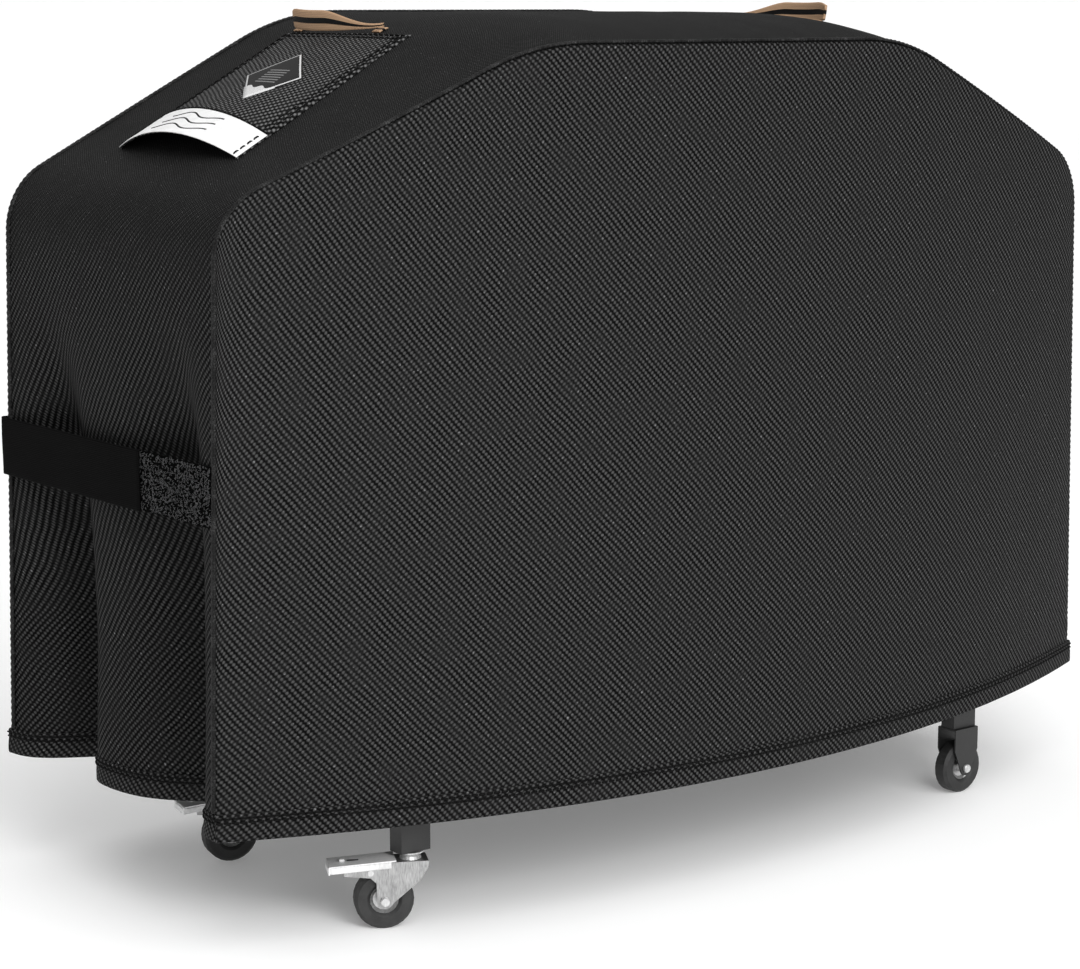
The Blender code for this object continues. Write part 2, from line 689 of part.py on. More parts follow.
def shelf_frame(look):
    """Round tube that carries the left end of the cover: out from the top ring, across and back."""
    near = LEG_X + RAIL / 2 + GAP
    corners = [Vector((-near, SHELF_FRONT_Y)), Vector((-SHELF_END_X, SHELF_FRONT_Y)),
               Vector((-SHELF_END_X, SHELF_BACK_Y)), Vector((-near, SHELF_BACK_Y))]
    line = [corners[0]]
    line += rounded_corner(corners[0], corners[1], corners[2], SHELF_BEND, 5)
    line += rounded_corner(corners[1], corners[2], corners[3], SHELF_BEND, 5)
    line += [corners[3]]
    points = [(spot.x, spot.y, RING_Z) for spot in line]
    return place("left_shelf_frame", curve_mesh("left_shelf_frame", points, SHELF_R, 1), look, 60)


def hoop(name, y, look):
    """Bent tube under the roof, standing on the two end frames."""
    level = roof_share((y - FRONT_Y) / (BACK_Y - FRONT_Y))
    foot_z = RING_Z + SHELF_R + GAP
    points = [(-SHELF_END_X, y, foot_z)]
    for index in range(SIDE_ROWS + 2, len(FRONT_OUTLINE) - SIDE_ROWS - 2):
        run = FRONT_OUTLINE[index + 1] - FRONT_OUTLINE[index - 1]
        inwards = Vector((run.y, -run.x)).normalized() * HOOP_UNDER
        spot = FRONT_OUTLINE[index].lerp(BACK_OUTLINE[index], level) + inwards
        points.append((spot.x, y, HEM_Z + spot.y))
    points.append((SHELF_END_X, y, foot_z))
    return place(name, curve_mesh(name, points, HOOP_R, 1), look, 60)


# ------------------------------------------------------------------ casters
# Each caster is built about its leg's own upright axis, then stood in its place by an empty.
def wheel(prefix, x, tyre_look, hub_look, bolt_look):
    centre = (x, 0.0, WHEEL_R)
    half = TYRE_WIDE / 2
    seat = HUB_R + FIT
    edge = 0.004
    tyre = [(seat, half - 0.003), (HUB_R + edge, half), (WHEEL_R - edge, half), (WHEEL_R, half - edge),
            (WHEEL_R, edge - half), (WHEEL_R - edge, -half), (HUB_R + edge, -half),
            (seat, 0.003 - half), (seat, half - 0.003)]
    turned(prefix + "_tyre", tyre, 28, tyre_look, centre, 'Y')
    bore = BOLT_R + FIT
    boss = 0.0075
    web = 0.005
    rim = half - 0.0035
    long = HUB_LONG / 2 - FIT
    hub = [(bore, long), (boss, long), (boss, web), (HUB_R - 0.004, web), (HUB_R, rim), (HUB_R, -rim),
           (HUB_R - 0.004, -web), (boss, -web), (boss, -long), (bore, -long), (bore, long)]
    turned(prefix + "_hub", hub, 20, hub_look, centre, 'Y')
    outer = FORK_INNER / 2 + FORK_WALL + FIT
    head = 0.0042
    bolt = [(0, outer + head), (BOLT_HEAD_R - 0.001, outer + head), (BOLT_HEAD_R, outer + head - 0.0012),
            (BOLT_HEAD_R, outer), (BOLT_R, outer), (BOLT_R, -outer), (BOLT_HEAD_R, -outer),
            (BOLT_HEAD_R, -outer - head), (BOLT_R, -outer - head), (0, -outer - head - 0.002)]
    turned(prefix + "_axle_bolt", bolt, 12, bolt_look, centre, 'Y')


def round_bar(name, centre, radius, length, axis, look):
    bm = bmesh.new()
    bmesh.ops.create_cone(bm, cap_ends=True, segments=16, radius1=radius, radius2=radius, depth=length)
    if axis == 'Y':
        bmesh.ops.rotate(bm, matrix=Matrix.Rotation(math.radians(90), 3, 'X'), verts=bm.verts)
    bmesh.ops.translate(bm, vec=centre, verts=bm.verts)
    return finish(name, bm, look)


def round_foot(x, z, radius, start, end, steps):
    """Points round an axle, angles in degrees from +X towards +Z."""
    turn = [math.radians(mix(start, end, step / steps)) for step in range(steps + 1)]
    return [(x + radius * math.cos(angle), z + radius * math.sin(angle)) for angle in turn]


def fixed_fork(prefix, look):
    """Bent sheet bracket under a leg, with two straight cheeks that round off below the axle."""
    half = BRACKET_WIDE / 2
    top = LEG_FOOT_Z - GAP
    inner = FORK_INNER / 2
    bend_z = WHEEL_R + BRACKET_STRAIGHT
    points = [(-half, top), (-half, bend_z)]
    points += round_foot(0.0, WHEEL_R, CHEEK_R + 0.001, 190, 350, 6)
    points += [(half, bend_z), (half, top)]
    mesh = outline_mesh(prefix + "_fork", points, FORK_INNER + 2 * FORK_WALL)
    fork = place(prefix + "_fork", mesh, look)
    cut(fork, box(prefix + "_fork_slot", (-half - 0.01, -inner, 0.0),
                  (half + 0.01, inner, top - FORK_WALL), look))
    cut(fork, round_bar(prefix + "_axle_hole", (0, 0, WHEEL_R), BOLT_R + FIT, 0.06, 'Y', look))


def swivel_fork(prefix, look, bright):
    """Turning fork on its stem, the wheel trailing towards -X, with a brake pedal."""
    axle = -TRAIL
    inner = FORK_INNER / 2
    points = [(0.021, FORK_TOP_Z), (-0.026, FORK_TOP_Z), (-0.060, FORK_TOP_Z - 0.0050),
              (-0.085, FORK_TOP_Z - 0.0090), (-0.085, FORK_TOP_Z - 0.0150),
              (axle - 0.018, WHEEL_R + 0.0310), (axle - 0.0105, WHEEL_R + 0.0240)]
    points += round_foot(axle, WHEEL_R, CHEEK_R, 180, 340, 6)
    points += [(0.010, FORK_TOP_Z - 0.0250), (0.021, FORK_TOP_Z - 0.0070)]
    mesh = outline_mesh(prefix + "_fork", points, FORK_INNER + 2 * FORK_WALL)
    fork = place(prefix + "_fork", mesh, look)
    cut(fork, box(prefix + "_fork_slot", (-0.10, -inner, 0.0),
                  (0.05, inner, FORK_TOP_Z - FORK_WALL), look))
    cut(fork, box(prefix + "_fork_mouth", (-0.10, -inner, WHEEL_R),
                  (-0.022, inner, FORK_TOP_Z + 0.01), look))
    cut(fork, round_bar(prefix + "_axle_hole", (axle, 0, WHEEL_R), BOLT_R + FIT, 0.06, 'Y', look))
    cut(fork, round_bar(prefix + "_pin_hole", (PEDAL_PIVOT_X, 0, PEDAL_PIVOT_Z), PEDAL_PIN_R + FIT,
                        0.06, 'Y', look))
    cut(fork, round_bar(prefix + "_stem_hole", (0, 0, FORK_TOP_Z), STEM_R + FIT, 0.02, 'Z', look))
    swivel_stem(prefix, bright)
    outer = inner + FORK_WALL + FIT
    head = PEDAL_PIN_R + 0.0017
    pin = [(0, outer + 0.0014), (head, outer + 0.0010), (head, outer), (PEDAL_PIN_R, outer),
           (PEDAL_PIN_R, -outer), (head, -outer), (head, -outer - 0.0010), (0, -outer - 0.0014)]
    turned(prefix + "_pedal_pin", pin, 12, bright, (PEDAL_PIVOT_X, 0.0, PEDAL_PIVOT_Z), 'Y')
    brake_pedal(prefix, bright)


def swivel_stem(prefix, look):
    """Stem in the leg, race under the leg's foot, and the head that holds the fork from below."""
    race_low = FORK_TOP_Z + GAP
    race_high = LEG_FOOT_Z - GAP
    under = FORK_TOP_Z - FORK_WALL - GAP
    stem = [(0, race_high + STEM_LONG), (STEM_R, race_high + STEM_LONG), (STEM_R, race_high),
            (RACE_R, race_high), (RACE_R, race_high - 0.0015), (RACE_R - 0.0045, race_low + 0.0035),
            (RACE_R - 0.0025, race_low), (STEM_R, race_low), (STEM_R, under), (0.0085, under),
            (0.0070, under - 0.003), (0, under - 0.003)]
    turned(prefix + "_swivel_stem", stem, 18, look, (0.0, 0.0, 0.0), 'Z')


def brake_pedal(prefix, look):
    """Bent sheet pedal: a lug hangs between the cheeks on the pin, a plate reaches past the wheel."""
    pivot = PEDAL_PIVOT_X
    tip_z = PEDAL_Z - PEDAL_DROP
    lug_wide = FORK_INNER - 2 * 0.0008
    plate = [(PEDAL_IN, PEDAL_Z + PEDAL_THICK), (PEDAL_IN, PEDAL_Z), (PEDAL_OUT + PEDAL_THICK, tip_z),
             (PEDAL_OUT + PEDAL_THICK, tip_z - PEDAL_LIP), (PEDAL_OUT, tip_z - PEDAL_LIP),
             (PEDAL_OUT, tip_z + 0.0008), (PEDAL_OUT + 0.0015, tip_z + PEDAL_THICK)]
    mesh = outline_mesh(prefix + "_brake_pedal", [(px - pivot, pz - PEDAL_PIVOT_Z) for px, pz in plate],
                        PEDAL_WIDE)
    pedal = place(prefix + "_brake_pedal", mesh, look)
    pedal.location = (pivot, 0.0, PEDAL_PIVOT_Z)
    share = (PEDAL_IN - pivot) / (PEDAL_IN - PEDAL_OUT)
    seat = PEDAL_Z - PEDAL_DROP * share + 0.0008
    half = 0.0048
    lug_points = [(pivot - half, seat), (pivot - half, PEDAL_PIVOT_Z - half),
                  (pivot + half, PEDAL_PIVOT_Z - half), (pivot + half, seat)]
    lug = place(prefix + "_pedal_lug", outline_mesh(prefix + "_pedal_lug", lug_points, lug_wide), look)
    cut(pedal, lug, 'UNION')
    inner = lug_wide / 2 - PEDAL_LUG
    cut(pedal, box(prefix + "_pedal_room", (pivot - 0.01, -inner, WHEEL_R),
                   (pivot + 0.01, inner, seat - 0.0018), look))
    cut(pedal, round_bar(prefix + "_pedal_pin_hole", (pivot, 0, PEDAL_PIVOT_Z), PEDAL_PIN_R + FIT,
                         0.06, 'Y', look))


def stand_at(name, x, y, turn, before):
    """An empty that carries every object made since before to its leg."""
    empty = bpy.data.objects.new(name, None)
    bpy.context.scene.collection.objects.link(empty)
    empty.location = (x, y, 0.0)
    empty.rotation_euler = (0.0, 0.0, math.radians(turn))
    for piece in list(bpy.data.objects):
        if piece not in before and piece != empty:
            piece.parent = empty


def casters(tyre, hub, zinc, bright, black):
    for y, side in ((LEG_FRONT_Y, "front"), (LEG_BACK_Y, "back")):
        before = set(bpy.data.objects)
        swivel_fork("left_" + side, zinc, bright)
        wheel("left_" + side, -TRAIL, tyre, hub, bright)
        stand_at("left_" + side + "_caster", -LEG_X, y, SWIVEL_REST[side], before)
        before = set(bpy.data.objects)
        fixed_fork("right_" + side, black)
        wheel("right_" + side, 0.0, tyre, hub, bright)
        stand_at("right_" + side + "_caster", LEG_X, y, 0.0, before)


# ------------------------------------------------------------------ build
clear_scene()
PARTS = collection("grill_cover")
CUTTERS = collection("cutters")
FRONT_OUTLINE = outline(FRONT_TOP_H, FRONT_TOP_HALF)
BACK_OUTLINE = outline(BACK_TOP_H, BACK_TOP_HALF)


def build():
    cloth = material("cover_cloth", (0.022, 0.022, 0.023), 0.62)
    trim = material("seam_trim", (0.050, 0.050, 0.052), 0.70)
    label = material("label_cloth", (0.85, 0.85, 0.84), 0.60)
    patch_look = material("care_patch", (0.018, 0.018, 0.018), 0.45)
    net = material("vent_net", (0.006, 0.006, 0.006), 0.80)
    striped = material("handle_webbing", (0.60, 0.42, 0.28), 0.75)
    webbing = material("strap_webbing", (0.012, 0.012, 0.012), 0.75)
    fuzzy = material("loop_tape", (0.030, 0.030, 0.032), 0.95)
    black = material("black_paint", (0.015, 0.015, 0.015), 0.40)
    zinc = material("zinc_plate", (0.62, 0.62, 0.63), 0.35, 1.0)
    bright = material("bright_steel", (0.75, 0.75, 0.76), 0.22, 1.0)
    rubber = material("tyre_rubber", (0.020, 0.020, 0.021), 0.70)
    hub = material("hub_plate", (0.50, 0.50, 0.51), 0.35, 1.0)

    panel("front_panel", -1, cloth)
    panel("back_panel", 1, cloth)
    gusset(cloth)
    hem_band(cloth)
    welt("front_seam_welt", -1, trim)
    welt("back_seam_welt", 1, trim)
    for piece in (vent_hood(cloth), vent_label(label), vent_net(net)):
        mirrored(piece, piece.name.replace("left", "right"))
    handle("left_handle", -1, LEFT_HANDLE_X, striped)
    handle("right_handle", 1, RIGHT_HANDLE_X, striped)
    patch(patch_look)
    for piece in straps(webbing, fuzzy):
        mirrored(piece, piece.name.replace("left", "right"))
    legs(black)
    rails(black)
    mirrored(shelf_frame(black), "right_shelf_frame")
    hoop("front_roof_hoop", HOOP_FRONT_Y, black)
    hoop("back_roof_hoop", HOOP_BACK_Y, black)
    casters(rubber, hub, zinc, bright, black)


build()
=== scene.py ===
# Looks for a fitted grill cover and the plain cart frame that carries it.
import random
from math import copysign, cos, exp, pi, radians, sin, sqrt, tan, tau

import bmesh
import bpy
import numpy as np
from mathutils import Matrix, Vector, noise


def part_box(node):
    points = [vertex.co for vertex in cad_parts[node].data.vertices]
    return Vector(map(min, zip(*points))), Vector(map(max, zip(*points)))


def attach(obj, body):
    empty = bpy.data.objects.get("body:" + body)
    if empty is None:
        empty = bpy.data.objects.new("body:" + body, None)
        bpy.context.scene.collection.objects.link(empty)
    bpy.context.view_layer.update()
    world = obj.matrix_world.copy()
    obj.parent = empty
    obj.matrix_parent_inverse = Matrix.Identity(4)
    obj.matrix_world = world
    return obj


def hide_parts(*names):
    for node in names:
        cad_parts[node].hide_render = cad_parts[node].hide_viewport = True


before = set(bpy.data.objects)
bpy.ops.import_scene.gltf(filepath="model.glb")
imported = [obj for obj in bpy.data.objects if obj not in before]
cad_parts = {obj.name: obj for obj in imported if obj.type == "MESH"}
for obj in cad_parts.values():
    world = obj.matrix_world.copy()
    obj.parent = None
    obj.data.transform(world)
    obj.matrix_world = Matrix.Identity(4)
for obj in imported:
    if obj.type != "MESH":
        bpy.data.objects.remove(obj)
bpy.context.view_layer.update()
random.seed(11)
print("frame loaded")


# small helpers
def mix(a, b, share):
    return a + (b - a) * share


def smoothStep(value):
    value = max(0.0, min(1.0, value))
    return value * value * (3 - 2 * value)


def evenly(low, high, steps):
    return [mix(low, high, step / steps) for step in range(steps + 1)]


def runAlong(line):
    # running length from the first point of a line to each of its points
    return np.concatenate([[0], np.cumsum(np.linalg.norm(np.diff(line, axis=0), axis=1))])


def onLine(at, runs, line):
    # the point of a line at one running length
    return np.array([np.interp(at, runs, line[:, k]) for k in range(line.shape[1])])


def toScene(name, data):
    made = bpy.data.objects.new(name, data)
    bpy.context.scene.collection.objects.link(made)
    return made


# materials
class Signal:
    # a value inside a material, so that a look can be written as plain sums
    def __init__(self, look, socket):
        self.look = look
        self.socket = socket

    def apply(self, operation, other=0.5):
        made = addNode(self.look, "ShaderNodeMath", {"operation": operation})
        plug(self.look, self, made.inputs[0])
        plug(self.look, other, made.inputs[1])
        return Signal(self.look, made.outputs[0])

    def __add__(self, other):
        return self.apply("ADD", other)

    def __sub__(self, other):
        return self.apply("SUBTRACT", other)

    def __mul__(self, other):
        return self.apply("MULTIPLY", other)

    def __gt__(self, other):
        return self.apply("GREATER_THAN", other)

    def __lt__(self, other):
        return self.apply("LESS_THAN", other)

    def span(self, low, high, outLow, outHigh):
        made = addNode(self.look, "ShaderNodeMapRange")
        for socket, number in zip(made.inputs[:5], (self, low, high, outLow, outHigh)):
            plug(self.look, number, socket)
        return Signal(self.look, made.outputs[0])

    def ramp(self, stops):
        made = addNode(self.look, "ShaderNodeValToRGB", Fac=self)
        points = made.color_ramp.elements
        while len(points) < len(stops):
            points.new(0.5)
        for point, (place, tone) in zip(points, stops):
            point.position = place
            point.color = (tone, tone, tone, 1)
        return made.outputs["Color"]


def newLook(name, colour, roughness, metallic=0.0, sheen=0.0, specular=0.5):
    look = bpy.data.materials.new(name)
    look.use_nodes = True
    for key, value in (("Base Color", (*colour, 1)), ("Roughness", roughness), ("Metallic", metallic),
                       ("Sheen Weight", sheen), ("Specular IOR Level", specular)):
        look.node_tree.nodes["Principled BSDF"].inputs[key].default_value = value
    return look


def plug(look, value, socket):
    value = getattr(value, "socket", value)
    if isinstance(value, bpy.types.NodeSocket):
        look.node_tree.links.new(value, socket)
    else:
        socket.default_value = value


def addNode(look, kind, settings=None, **inputs):
    made = look.node_tree.nodes.new(kind)
    for key, value in (settings or {}).items():
        setattr(made, key, value)
    for key, value in inputs.items():
        plug(look, value, made.inputs[key])
    return made


def mixed(look, share, first, second, kind="MIX"):
    made = addNode(look, "ShaderNodeMix", {"data_type": "RGBA", "blend_type": kind},
                   Factor=share, A=first, B=second)
    return made.outputs["Result"]


def vectors(look, operation, first, second, output="Vector"):
    made = addNode(look, "ShaderNodeVectorMath", {"operation": operation})
    plug(look, first, made.inputs[0])
    plug(look, second, made.inputs["Scale" if operation == "SCALE" else 1])
    return made.outputs[output]


def objectPoint(look, stretch=(1, 1, 1)):
    where = addNode(look, "ShaderNodeTexCoord").outputs["Object"]
    return addNode(look, "ShaderNodeMapping", Vector=where, Scale=stretch).outputs["Vector"]


def clothPoint(look):
    return addNode(look, "ShaderNodeUVMap", {"uv_map": "cloth"}).outputs["UV"]


def axes(look, where):
    return [Signal(look, output) for output in addNode(look, "ShaderNodeSeparateXYZ", Vector=where).outputs]


def speckle(look, scale, detail=2.0, roughness=0.5, where=None):
    made = addNode(look, "ShaderNodeTexNoise", Vector=where or objectPoint(look), Scale=scale,
                   Detail=detail, Roughness=roughness)
    return Signal(look, made.outputs["Fac"])


def finishLook(look, colour, roughness=None, height=None, strength=0.3, distance=0.001):
    shader = look.node_tree.nodes["Principled BSDF"]
    plug(look, colour, shader.inputs["Base Color"])
    if roughness is not None:
        plug(look, roughness, shader.inputs["Roughness"])
    if height is not None:
        bump = addNode(look, "ShaderNodeBump", Height=height, Strength=strength, Distance=distance)
        plug(look, bump.outputs["Normal"], shader.inputs["Normal"])
    return look


# cloth: a basket weave of coated yarn, laid on the bias
weave = {
    "ribPitch": 0.00727,        # across the diagonal ribs
    "ribAngle": 42,             # degrees, direction across the ribs
    "yarnPitch": 0.00453,       # across the yarns that break each rib into dashes
    "yarnAngle": 116.5,
    "ribShare": 0.245,          # how much each wave adds to the height, from 0 to 1
    "yarnShare": 0.140,
    "crossShare": 0.105,
    "fineShare": 0.55,          # pitch of the weave on the slopes and the roof, against the coarse one
    "fineStrength": 0.55,
    "wander": 0.0044,           # how far the yarns stray from straight lines
    "wanderScale": 16.0,
    "worn": (0.50, 1.15),       # strength of the weave where it is worn flat and where it is full
    "grain": 0.09,
    "glint": 0.16,
    "relief": 0.0014,
}


def weaveHeight(look, where, pitchShare=1.0):
    stray = addNode(look, "ShaderNodeTexNoise", Vector=where, Scale=weave["wanderScale"],
                    Detail=2.0).outputs["Color"]
    stray = vectors(look, "SCALE", vectors(look, "SUBTRACT", stray, (0.5, 0.5, 0.5)), weave["wander"])
    moved = vectors(look, "ADD", where, stray)
    phases = []
    for pitch, angle in ((weave["ribPitch"], weave["ribAngle"]), (weave["yarnPitch"], weave["yarnAngle"])):
        turn, rate = radians(angle), tau / (pitch * pitchShare)
        direction = (rate * cos(turn), rate * sin(turn), 0)
        phases.append(Signal(look, vectors(look, "DOT_PRODUCT", moved, direction, "Value")))
    rib, yarn = phases
    waves = rib.apply("COSINE") * weave["ribShare"] + yarn.apply("COSINE") * weave["yarnShare"]
    return waves + ((rib - yarn).apply("COSINE") * weave["crossShare"] + 0.5)


def clothLook(name, dark, middle, light, strength=0.7, fineAbove=None, pitchShare=1.0):
    look = newLook(name, (middle,) * 3, 0.6, specular=0.05)
    where = clothPoint(look)
    height = weaveHeight(look, where, pitchShare)
    strong = speckle(look, 26.0, 3.0, 0.6, where).span(0.32, 0.68, *weave["worn"])
    if fineAbove:
        upper = axes(look, objectPoint(look))[2].span(*fineAbove, 0.0, 1.0)
        height = height + (weaveHeight(look, where, weave["fineShare"]) - height) * upper
        strong = strong * upper.span(0.0, 1.0, 1.0, weave["fineStrength"])
    height = (height - 0.5) * strong + 0.5
    grain = speckle(look, 420.0, 2.0, 0.7, where)
    height = height + grain.span(0.3, 0.7, -weave["grain"], weave["grain"])
    glint = speckle(look, 210.0, 1.0, where=where).span(0.66, 0.78, 0.0, 1.0)
    glint = glint * height.span(0.55, 0.8, 0.0, 1.0)
    # colour follows the weave's height: painted shade in the hollows between the yarns, painted highlight
    # on the yarn tops, painted glints on the highest ribs
    colour = mixed(look, glint, height.ramp([(0.26, dark), (0.50, middle), (0.80, light)]),
                   (weave["glint"], weave["glint"], weave["glint"] + 0.003, 1))
    return finishLook(look, colour, height.span(0.2, 0.8, 0.78, 0.52), height, strength, weave["relief"])


def yarnLook(name, colour, roughness=0.55):
    look = newLook(name, colour, roughness, specular=0.10)
    ply = addNode(look, "ShaderNodeTexWave", {"bands_direction": "DIAGONAL"},
                  Vector=objectPoint(look), Scale=900.0, Distortion=1.5).outputs["Fac"]
    shaded = [channel * 0.45 for channel in colour]
    return finishLook(look, mixed(look, ply, (*shaded, 1), (*colour, 1)), None, ply, 0.4, 0.0004)


looks = {
    "cloth": clothLook("cover_cloth", 0.0008, 0.013, 0.056),
    # the same cloth in darker tones: painted shade on the ends, slopes and roof
    "gussetCloth": clothLook("cover_cloth_gusset", 0.0005, 0.009, 0.048, fineAbove=(0.80, 0.93)),
    # a coarser weave whose yarn tops are lighter than the cover cloth's: painted highlight on the hood
    "hoodCloth": clothLook("cover_cloth_hood", 0.0006, 0.020, 0.150, strength=0.8, pitchShare=1.15),
    "thread": yarnLook("black_thread", (0.002, 0.002, 0.002)),
}


# pieces: cloth and bands are grids, threads are curves
def spreadAlong(points, axis):
    # running length along one direction of a grid of points
    steps = np.linalg.norm(np.diff(points, axis=axis), axis=2)
    start = np.zeros_like(steps.take([0], axis=axis))
    return np.concatenate([start, np.cumsum(steps, axis=axis)], axis=axis)


def gridOf(firsts, seconds, spot):
    # spot gives a place in space and on the uncut cloth for each pair
    pairs = [[spot(first, second) for second in seconds] for first in firsts]
    return [np.array([[pair[part] for pair in row] for row in pairs], float) for part in (0, 1)]


def placePiece(name, data, look, body="root"):
    piece = toScene(name, data)
    data.materials.append(look)
    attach(piece, body)
    return piece


def meshPiece(name, bm, look, body="root", thickness=None, offset=-1.0):
    mesh = bpy.data.meshes.new(name)
    bm.to_mesh(mesh)
    bm.free()
    piece = placePiece(name, mesh, look, body)
    if thickness:
        solid = piece.modifiers.new("thickness", 'SOLIDIFY')
        solid.thickness = thickness
        solid.offset = offset
    return piece


def clothGrid(name, points, flat, look, thickness, slot, offset=-1.0, ring=False, mirror=False,
              body="root", node=None):
    # points and flat hold, for each column and row, the place in space and on the uncut cloth
    points = np.array(points, float) * ((-1 if mirror else 1), 1, 1)
    if flat is None:
        flat = np.stack([spreadAlong(points, 1), spreadAlong(points, 0)], axis=2)
    columns, rows = points.shape[0] - 1, points.shape[1] - 1
    bm = bmesh.new()
    bmesh.ops.create_grid(bm, x_segments=columns, y_segments=rows, size=0.5)
    spots = {}
    for vert in bm.verts:
        spot = (round((vert.co.x + 0.5) * columns), round((vert.co.y + 0.5) * rows))
        spots[vert.index] = spot
        vert.co = points[spot]
    layer = bm.loops.layers.uv.new("cloth")
    for face in bm.faces:
        face.smooth = True
        for corner in face.loops:
            corner[layer].uv = flat[spots[corner.vert.index]]
    if ring:
        bmesh.ops.remove_doubles(bm, verts=bm.verts, dist=1e-6)
    if mirror:
        bmesh.ops.reverse_faces(bm, faces=bm.faces)
    piece = meshPiece(name, bm, look, body, thickness, offset)
    if node:
        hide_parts(node)
    return piece


def newCurve(name, radius, resolution=1, caps=True):
    curve = bpy.data.curves.new(name, 'CURVE')
    curve.dimensions = '3D'
    curve.bevel_depth = radius
    curve.bevel_resolution = resolution
    curve.use_fill_caps = caps
    return curve


def addStrand(curve, spots, mirror=False):
    spline = curve.splines.new('POLY')
    spline.points.add(len(spots) - 1)
    for point, (x, y, z) in zip(spline.points, spots):
        point.co = (-x if mirror else x, y, z, 1)


# stitches: pitch, length and thread radius of each kind
stitch = {
    "hem": (0.0100, 0.0075, 0.0012), "strip": (0.0120, 0.0080, 0.0011), "hood": (0.0120, 0.0085, 0.0010),
    "sink": 0.0004, "stray": 0.0003, "rise": 0.8,
}


def stitchRow(name, lines, kind, mirror=False):
    # each line is a list of (place, outward direction); a stitch rises out of the cloth and dips back
    pitch, long, radius = stitch[kind]
    top, sink = radius * stitch["rise"], -stitch["sink"]
    curve = newCurve(name, radius)
    for line in lines:
        places, normals = (np.array(part, float) for part in zip(*line))
        runs = runAlong(places)
        for number in range(int((runs[-1] - long) / pitch) + 1):
            start = number * pitch + random.uniform(-stitch["stray"], stitch["stray"])
            spots = []
            for share, lift in ((0, sink), (0.2, top), (0.8, top), (1, sink)):
                at = start + long * share
                spots.append(onLine(at, runs, places) + lift * onLine(at, runs, normals))
            addStrand(curve, spots, mirror)
    return placePiece(name, curve, looks["thread"])


# shape of the cover
cover = {
    "halfLength": 0.7365, "halfDepth": 0.2597, "middleY": 0.060,
    "hemZ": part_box("hem_band")[0].z, "hemHeight": 0.034,
    "shoulder": 0.752, "frontTop": 0.936, "backTop": 0.974,
    "frontTopHalf": 0.3155, "backTopHalf": 0.2947,
    "flare": 0.0177, "shoulderBend": 0.090, "roofBend": 0.360,
    "frontBelly": (0.165, 0.0768), "backBelly": (0.045, 0.020),       # at the hem, at the roof
    "seamSetback": 0.0030, "clothThick": 0.0020,
    "foldTop": 0.660, "foldFull": 0.180, "foldBroad": 0.018,
    "folds": ((0.146, 0.095, 0.050, 0.050), (-0.155, 0.105, 0.040, 0.085)),
    "sideRows": 56, "bendSteps": 14, "slopeSteps": 26, "roofSteps": 24, "endSteps": 76, "panelRows": 92,
    "seamRoll": 0.0062, "seamSink": 0.0046,
    "puckerPitch": 0.019, "puckerDeep": 0.0007, "puckerReach": 0.030,
    "creaseDeep": 0.0016,
}
middleY, halfDepth, halfLong, hemZ = (cover[key] for key in ("middleY", "halfDepth", "halfLength", "hemZ"))


def widening(height):
    # the sides flare out below the shoulder
    return 1 + cover["flare"] / halfLong * max(0.0, 1 - height / cover["shoulder"])


def roundedCorner(before, corner, after, radius, steps):
    back = (before - corner).normalized()
    ahead = (after - corner).normalized()
    half = back.angle(ahead) / 2
    centre = corner + (back + ahead).normalized() * (radius / sin(half))
    first = corner + back * (radius / tan(half)) - centre
    last = corner + ahead * (radius / tan(half)) - centre
    sweep = first.angle(last)
    return [centre + (first * sin((1 - share) * sweep) + last * sin(share * sweep))
            / sin(sweep) for share in evenly(0, 1, steps)]


def edgeLine(topHeight, topHalf):
    # from the left hem over the roof to the right hem, as (x, height above the hem)
    hem = Vector((-halfLong, 0))
    shoulder = Vector((-halfLong, cover["shoulder"]))
    roof = Vector((-topHalf, topHeight))
    middle = Vector((0, topHeight))
    lower = roundedCorner(hem, shoulder, roof, cover["shoulderBend"], cover["bendSteps"])
    upper = roundedCorner(shoulder, roof, middle, cover["roofBend"], cover["bendSteps"])
    half = [hem.lerp(lower[0], share) for share in evenly(0, 1, cover["sideRows"])[:-1]] + lower
    half += [lower[-1].lerp(upper[0], share) for share in evenly(0, 1, cover["slopeSteps"])[1:-1]]
    half += upper
    half += [upper[-1].lerp(middle, share) for share in evenly(0, 1, cover["roofSteps"])[1:]]
    whole = half + [Vector((-spot.x, spot.y)) for spot in reversed(half[:-1])]
    return np.array([(spot.x * widening(spot.y), spot.y) for spot in whole])


def edgeNormals(edge):
    run = np.gradient(edge, axis=0)
    run /= np.linalg.norm(run, axis=1)[:, None]
    return np.stack([-run[:, 1], run[:, 0]], axis=1)


frontEdge = edgeLine(cover["frontTop"], cover["frontTopHalf"])
backEdge = edgeLine(cover["backTop"], cover["backTopHalf"])
frontNormals, backNormals = edgeNormals(frontEdge), edgeNormals(backEdge)
edgeRun = runAlong(frontEdge)
edgeIndex = np.arange(len(frontEdge))
upperPart = slice(cover["sideRows"], len(frontEdge) - cover["sideRows"])


def panelY(x, height, side):
    low, top = cover["frontBelly"] if side < 0 else cover["backBelly"]
    belly = mix(low, top, height / cover["frontTop"])
    wide = halfLong * widening(height)
    return middleY + side * (halfDepth + belly * (1 - min(1.0, (x / wide) ** 2)))


def gussetSpan(front, back):
    # where the gusset starts and ends in depth, beside a front and a back point given as (x, height)
    return panelY(*front, -1) + cover["seamSetback"], panelY(*back, 1) - cover["seamSetback"]


def roofShare(depthShare):
    return 1 - (1 - min(1.0, depthShare / 0.5)) ** 3


def foldDepth(y, height):
    off = y - middleY
    share = smoothStep((cover["foldTop"] - height) / (cover["foldTop"] - cover["foldFull"]))
    depth = cover["foldBroad"] * max(0.0, 1 - (off / halfDepth) ** 2) ** 2
    for middle, deep, forwards, backwards in cover["folds"]:
        depth += deep * exp(-((off - middle) / (backwards if off > middle else forwards)) ** 2)
    return depth * share


